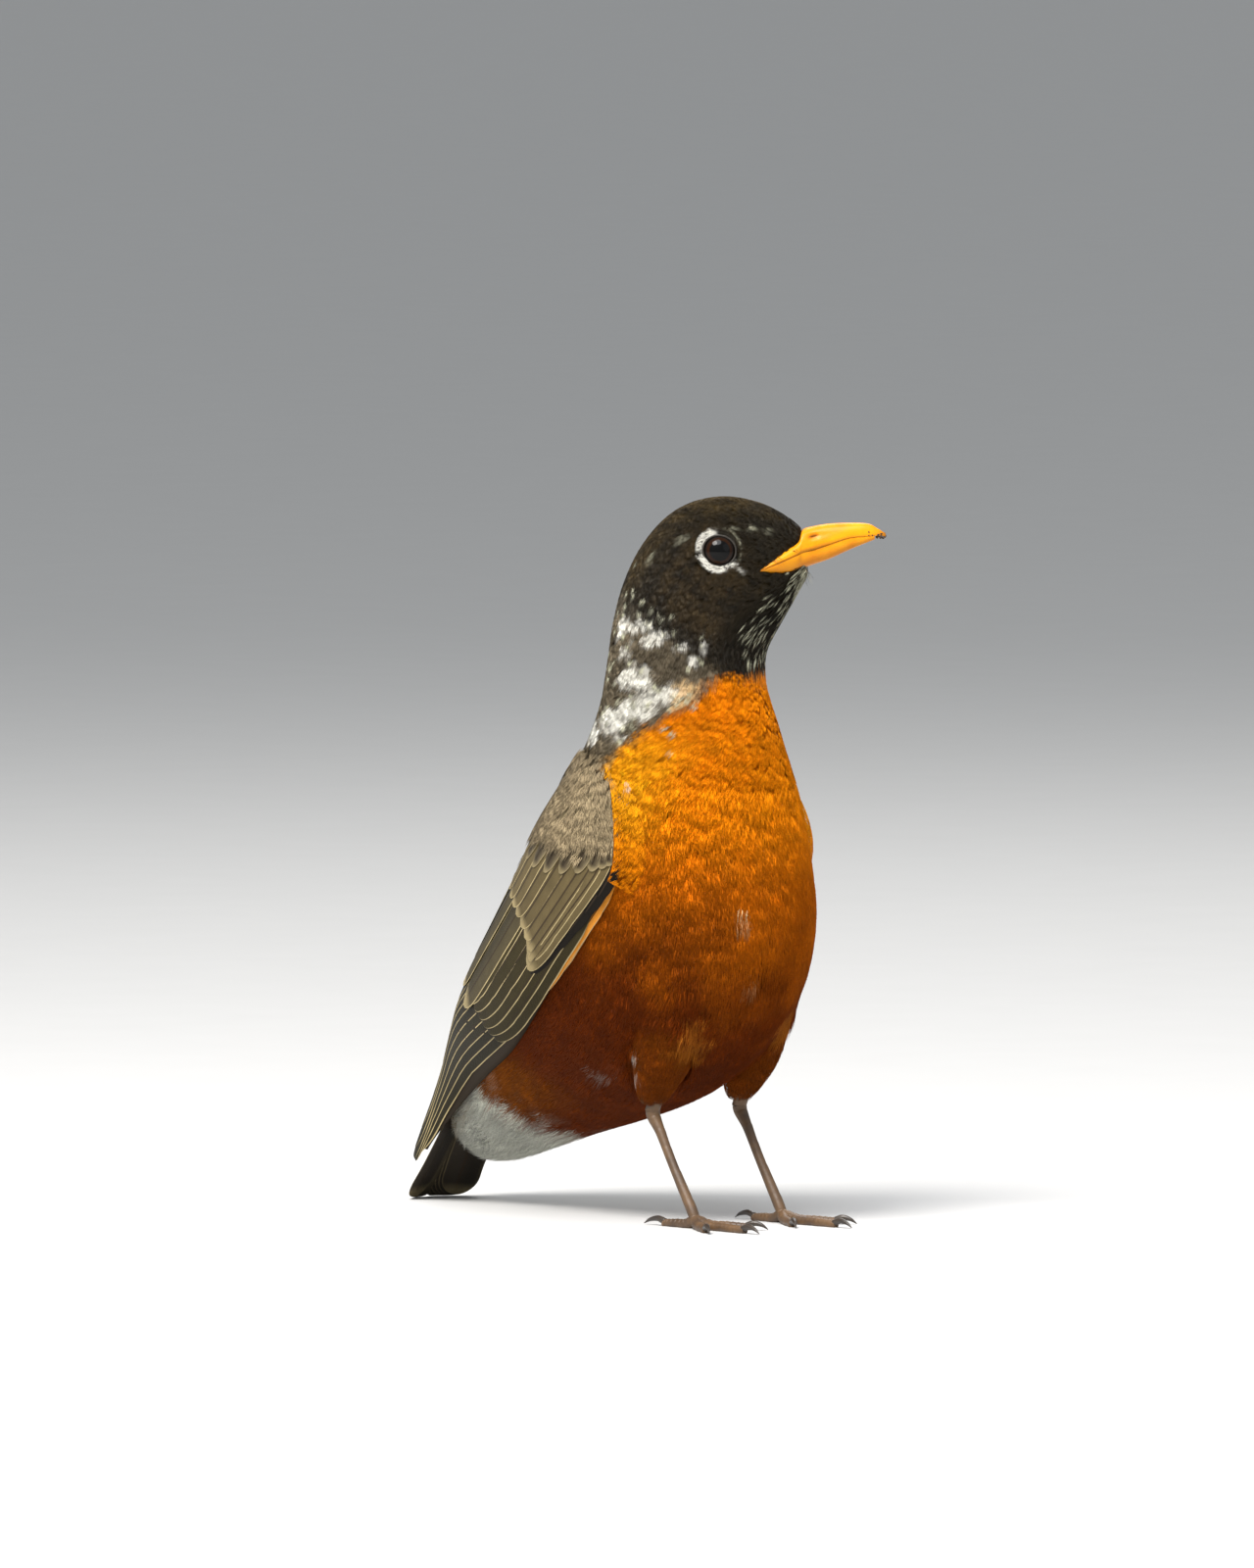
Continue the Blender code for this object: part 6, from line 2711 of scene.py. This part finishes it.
@dataclass
class Leg:
    """A shank and foot with scutes down the front and pads below, and four curved claws."""

    side: Side
    out: float = 14.0
    heel: tuple[float, float] = (13.0, 27.5)
    ankle: tuple[float, float] = (-2.5, 3.3)
    radius: float = 1.25
    thick: tuple[float, ...] = (1.7, 1.75, 1.25, 1.15, 1.35, 1.2)
    toes: tuple[tuple[str, float, float, float], ...] = (
        ("inner", 13.5, -30.0, 5.2),
        ("middle", 19.0, 2.0, 6.0),
        ("outer", 14.0, 30.0, 5.2),
        ("hind", 11.0, 178.0, 7.4),
    )
    knuckles: tuple[float, ...] = (0.30, 0.62, 0.9, 1.03)  # shares of a toe's length
    toe_root: float = 1.3
    toe_thick: tuple[float, ...] = (0.92, 0.84, 0.74, 0.7)  # shares of the radius
    toe_lift: float = 0.85
    claw_thick: tuple[float, ...] = (0.85, 0.74, 0.46, 0.1)
    claw_heights: tuple[float, ...] = (1.1, 1.75, 1.3, 0.3)

    @staticmethod
    def _limb(
        line: Any, radii: Any, rows: int, scutes: float, relief: float, pads: float, floor: float
    ) -> tuple[Array, list]:
        """A tapering tube with scutes on its upper side.

        Args:
            line: Its middle line, from the feet's middle.
            radii: Its radius at each point of the line.
            rows: How many rings it has.
            scutes: How many scutes.
            relief: How far they stand out, as a share of the radius.
            pads: How many pads its underside has.
            floor: The lowest that it may reach.

        Returns:
            Its points and faces.
        """
        t = np.linspace(0, len(line) - 1, rows)
        spots, radius, share = smooth(line, t), smooth(radii, t), t / t[-1]
        course = unit(np.gradient(spots, axis=0))
        level = unit(np.cross(course, (0.0, 0.0, 1.0)))
        rise = np.cross(level, course)
        angle = np.linspace(0, 2 * math.pi, 22, endpoint=False)
        c, s = np.cos(angle)[None], np.sin(angle)[None]
        saw = (share * scutes) % 1.0
        ends = ramp(0.0, 0.12, share) * ramp(1.0, 0.94, share)
        plates = relief * (ramp(0, 0.22, saw) - 0.75 * saw) * ends
        plates = plates[:, None] * ramp(-0.2, 0.3, s)
        cushion = 0.20 * np.abs(np.sin(share * math.pi * max(pads, 1)))[:, None]
        cushion = cushion * ramp(0.2, -0.4, s) * (pads > 0)
        reach = radius[:, None] * (1 + plates + cushion)
        places = spots[:, None] + level[:, None] * (reach * c)[..., None]
        places = places + rise[:, None] * (reach * s)[..., None]
        places[..., 2] = np.maximum(places[..., 2], floor)
        return closed_tube(standing(places))

    def build(self, finishes: Finishes) -> None:
        """Makes the leg and its claws and hands them over.

        Args:
            finishes: The object's finishes.
        """
        name, out = self.side.label, self.side.value * self.out
        heel, ankle = self.heel, self.ankle
        shank = [
            (out, heel[0] - 1.2, heel[1] + 3.0),
            (out, heel[0] - 0.2, heel[1]),
            (out, heel[0] - 3.2, heel[1] - 4.6),
            (out, (heel[0] + ankle[0]) / 2, (heel[1] + ankle[1]) / 2),
            (out, ankle[0] + 0.6, ankle[1] + 1.4),
            (out, ankle[0] - 1.0, ankle[1] - 1.6),
        ]
        parts = [self._limb(shank, self.thick, 150, 8, 0.07, 0, 0.0)]
        claws = []
        radii = [self.toe_root, *(self.radius * share for share in self.toe_thick)]
        start = np.array([out, ankle[0] - 0.9, 0.0])
        for _, length, spread, claw in self.toes:
            angle = math.radians(spread)
            step = np.array([self.side.value * math.sin(angle), -math.cos(angle), 0.0])
            line = [start - step * 0.8 + (0, 0, 2.5)]
            for share, radius in zip(self.knuckles, radii[1:]):
                line.append(start + step * length * share + (0, 0, self.toe_lift * radius))
            parts.append(self._limb(line, radii, 110, length * 0.8, 0.20, length / 4.5, 0.0))
            reaches = (0.0, claw * 0.35, claw * 0.75, claw + 0.3)
            tip = start + step * length
            hook = [tip + step * reach + (0, 0, up) for reach, up in zip(reaches, self.claw_heights)]
            claws.append(self._limb(hook, self.claw_thick, 40, 1, 0.0, 0, 0.05))
        foot = add_object("foot_" + name, *gather(parts), finishes.leg)
        hand_over(foot, "leg", "leg_" + name)
        nodes = [f"claw_{toe[0]}_{name}" for toe in self.toes]
        hand_over(add_object("claws_" + name, *gather(claws), finishes.claw), "claw", *nodes)


# ---------------------------------------------------------------- the whole bird


@dataclass(frozen=True)
class Region:
    """One piece of the body's coat, by stations and degrees round, and how it grows."""

    name: str
    plume: Plume
    stations: tuple[float, float]
    rounds: tuple[float, float]
    finish: str
    spacing: float
    size: float = 1.0
    yaw: float = 0.2
    cling: float = 1.0
    slim: float = 1.0


@dataclass
class Plumage:
    """The coat of the head, neck, trunk and thighs."""

    skin: Skin
    regions: list[Region] = field(
        default_factory=lambda: [
            Region("face", Plume.VELVET, (-1, 3.4), (0, 112), "hood", 0.42),
            Region("throat", Plume.VELVET, (-1, HOOD_END), (112, 180), "hood", 0.46, 1.5, slim=0.42),
            Region("crown", Plume.VELVET, (3.4, HOOD_END), (0, 62), "hood", 0.58),
            Region("cheek", Plume.VELVET, (3.4, HOOD_END), (62, 112), "hood", 0.54, 0.92),
            Region("neck", Plume.CONTOUR, (HOOD_END, NECK_END), (0, 180), "body", 0.86, 0.66),
            Region("breast", Plume.CONTOUR, (NECK_END, 15.4), (50, 180), "body", 1.10, 1.05, slim=0.85),
            Region("belly", Plume.CONTOUR, (15.4, 20.7), (50, 180), "body", 1.26, 1.10, slim=0.85),
            Region("back", Plume.COVERT, (NECK_END, 25), (0, 50), "covert", 1.5),
            Region("vent", Plume.DOWN, (20.7, 25), (50, 180), "down", 1.35, 1.35, 0.35, 0.8),
        ]
    )
    eye_clear: float = 5.35
    bill_clear: float = 0.1

    def build(
        self,
        coats: CoatTree,
        tufts: dict[Plume, Any],
        finishes: Finishes,
        hidden: Array,
        bill: tuple[Any, Any],
    ) -> None:
        """Grows every piece of the coat and hands it over.

        Args:
            coats: The tree that grows it.
            tufts: The unit feathers.
            finishes: The materials.
            hidden: Where no feather would show.
            bill: The bill's halves, which stay bare.
        """
        skin, aside = self.skin, np.abs(self.skin.a)
        clear = self._clear(bill) & ~hidden & (skin.leg == 0)
        for number, region in enumerate(self.regions):
            (first, last), (low, high) = region.stations, region.rounds
            inside = clear & (skin.t >= first) & (skin.t < last) & (aside >= low) & (aside <= high)
            node = "head" if last <= HOOD_END else "neck" if last <= NECK_END else "trunk"
            for side in Side:
                piece = coats.grow(
                    f"coat_{region.name}_{side.label}", skin.obj, inside & (skin.a * side.value >= 0),
                    tufts[region.plume], getattr(finishes, region.finish),
                    Spacing=region.spacing, Size=region.size, Yaw=region.yaw,
                    Cling=region.cling, Slim=region.slim,
                    Seed=100 + 2 * number + (side is Side.LEFT),
                )
                hand_over(piece, "plumage", node)
        for side in Side:
            piece = coats.grow(
                "coat_thigh_" + side.label, skin.obj, skin.leg == side.value,
                tufts[Plume.CONTOUR], finishes.body, Spacing=1.05, Seed=140,
            )
            hand_over(piece, "plumage", "thigh_" + side.label)

    def _clear(self, bill: tuple[Any, Any]) -> Array:
        """Where the skin is free of the bill and the eyes.

        Args:
            bill: The bill's halves.

        Returns:
            True at each such point.
        """
        skin, horn = self.skin, tree_of(*bill)
        clear = np.ones(len(skin.t), bool)
        for k in np.flatnonzero(skin.t < 5.0):
            place, normal = horn.find_nearest(Vector(skin.places[k]))[:2]
            deep = (np.array(place) - skin.places[k]) @ np.array(normal) / MM
            clear[k] = deep <= self.bill_clear
        for side in Side:
            eye = Eye(side)
            away = (skin.places - eye.middle) / MM
            off_axis = np.linalg.norm(away - (away @ eye.axis)[:, None] * eye.axis, axis=1)
            clear &= (away @ eye.axis <= 0) | (off_axis >= self.eye_clear)
        return clear


@dataclass
class Stage:
    """The pale floor, soft lights and the camera."""

    turn: float = -40.0
    rise: float = 3.5
    distance: float = 6.0
    height_in_view: float = 0.3855
    aside: float = -0.0253
    up: float = 0.1084
    sensor: float = 36.0
    half_floor: float = 14.0

    @staticmethod
    def _aimed(data: Any, place: Vector, back: Vector) -> Any:
        """Puts a light or the camera into the scene.

        Args:
            data: The light or camera.
            place: Where it stands.
            back: The way that its back looks.

        Returns:
            The object.
        """
        obj = bpy.data.objects.new(data.name, data)
        obj.location = place
        obj.rotation_euler = back.to_track_quat("Z", "Y").to_euler()
        bpy.context.scene.collection.objects.link(obj)
        return obj

    def _light(self, name: str, place: tuple, size: float, power: float, colour: Colour) -> None:
        """One soft light, aimed at the bird.

        Args:
            name: Its name.
            place: Where it stands: turn, rise in degrees, and distance.
            size: Its width.
            power: Its power.
            colour: Its colour.
        """
        data = bpy.data.lights.new(name, "AREA")
        data.shape, data.size = "DISK", size
        data.energy, data.color = power, colour
        way = heading(*place[:2])
        self._aimed(data, way * place[2] + Vector((0, 0, 0.1)), way)

    def build(self) -> None:
        """Makes the floor, the world, the lights and the camera."""
        material, write, shader = blank_material("pale_floor")
        tone = write.math("MULTIPLY_ADD", write.noise(write.object_place(), 40.0), 0.02, 0.56)
        write.feed(shader, {"Base Color": write.grey(tone), "Roughness": 0.9})
        corners = np.array([(-1, -1, 0), (1, -1, 0), (1, 1, 0), (-1, 1, 0)]) * self.half_floor
        floor = add_object("floor", corners, [(0, 1, 2, 3)], material)
        world = bpy.data.worlds.new("studio")
        world.use_nodes = True
        sky = {"Color": (0.90, 0.93, 0.95, 1.0), "Strength": 0.50}
        NodeWriter(world.node_tree).feed(world.node_tree.nodes["Background"], sky)
        bpy.context.scene.world = world
        self._light("key", (-74, 52, 1.6), 0.784, 34.0, (1.0, 0.96, 0.90))
        self._light("sky", (-46, 60, 1.5), 1.008, 19.0, (0.98, 0.98, 1.0))
        self._light("fill", (15, 20, 2.2), 1.792, 4.0, (0.95, 0.98, 1.0))
        self._light("rim", (130, 45, 1.8), 0.896, 10.0, (1.0, 0.98, 0.95))
        back, turn = heading(self.turn, self.rise), math.radians(self.turn)
        right = Vector((math.cos(turn), math.sin(turn), 0))
        aim = Vector(FEET * MM) + right * self.aside + back.cross(right) * self.up
        data = bpy.data.cameras.new("camera")
        data.sensor_fit, data.sensor_height = "VERTICAL", self.sensor
        data.lens = self.sensor * self.distance / self.height_in_view
        data.clip_end = 100.0
        bpy.context.scene.camera = self._aimed(data, aim + back * self.distance, back)
        bpy.context.scene.view_settings.view_transform = "Standard"


class Robin:
    """The whole bird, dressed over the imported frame."""

    def __init__(self, frame: dict) -> None:
        """Keeps the frame and makes the finishes.

        Args:
            frame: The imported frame, as it was loaded.
        """
        self.nodes = frame["nodes"]
        self.finishes = Finishes()
        self.body = Body()

    def build(self) -> None:
        """Builds every sub-assembly in order."""
        finishes = self.finishes
        skin = Skin(self.body, Markings(self.body))
        nodes = ("head", "neck", "trunk", "thigh_right", "thigh_left")
        hand_over(skin.build(finishes.body), "plumage", *nodes)
        coats, maker = CoatTree(), TuftMaker()
        tufts = {plume: maker.build(plume) for plume in Plume}
        bill = Bill().build(finishes)
        for side in Side:
            Eye(side).build(skin, coats, tufts[Plume.VELVET], finishes)
            Leg(side).build(finishes)
        wings = [self.nodes["wing_right"], self.nodes["wing_left"]]
        hidden = skin.covered(*wings, self.nodes["tail"])
        Plumage(skin).build(coats, tufts, finishes, hidden, bill)
        Bristles().build(finishes)
        small = tufts[Plume.COVERT], tufts[Plume.CONTOUR]
        for side, solid in zip(Side, wings):
            Wing(side).build(solid, skin, coats, *small, finishes)
        Tail().build(finishes)
        skin.strip()
        for tuft in tufts.values():
            bpy.data.objects.remove(tuft)


def main() -> None:
    """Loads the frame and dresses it."""
    logging.basicConfig(level=logging.INFO, format="%(message)s")
    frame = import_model()
    Robin(frame).build()
    Stage().build()


if __name__ == "__main__":
    main()
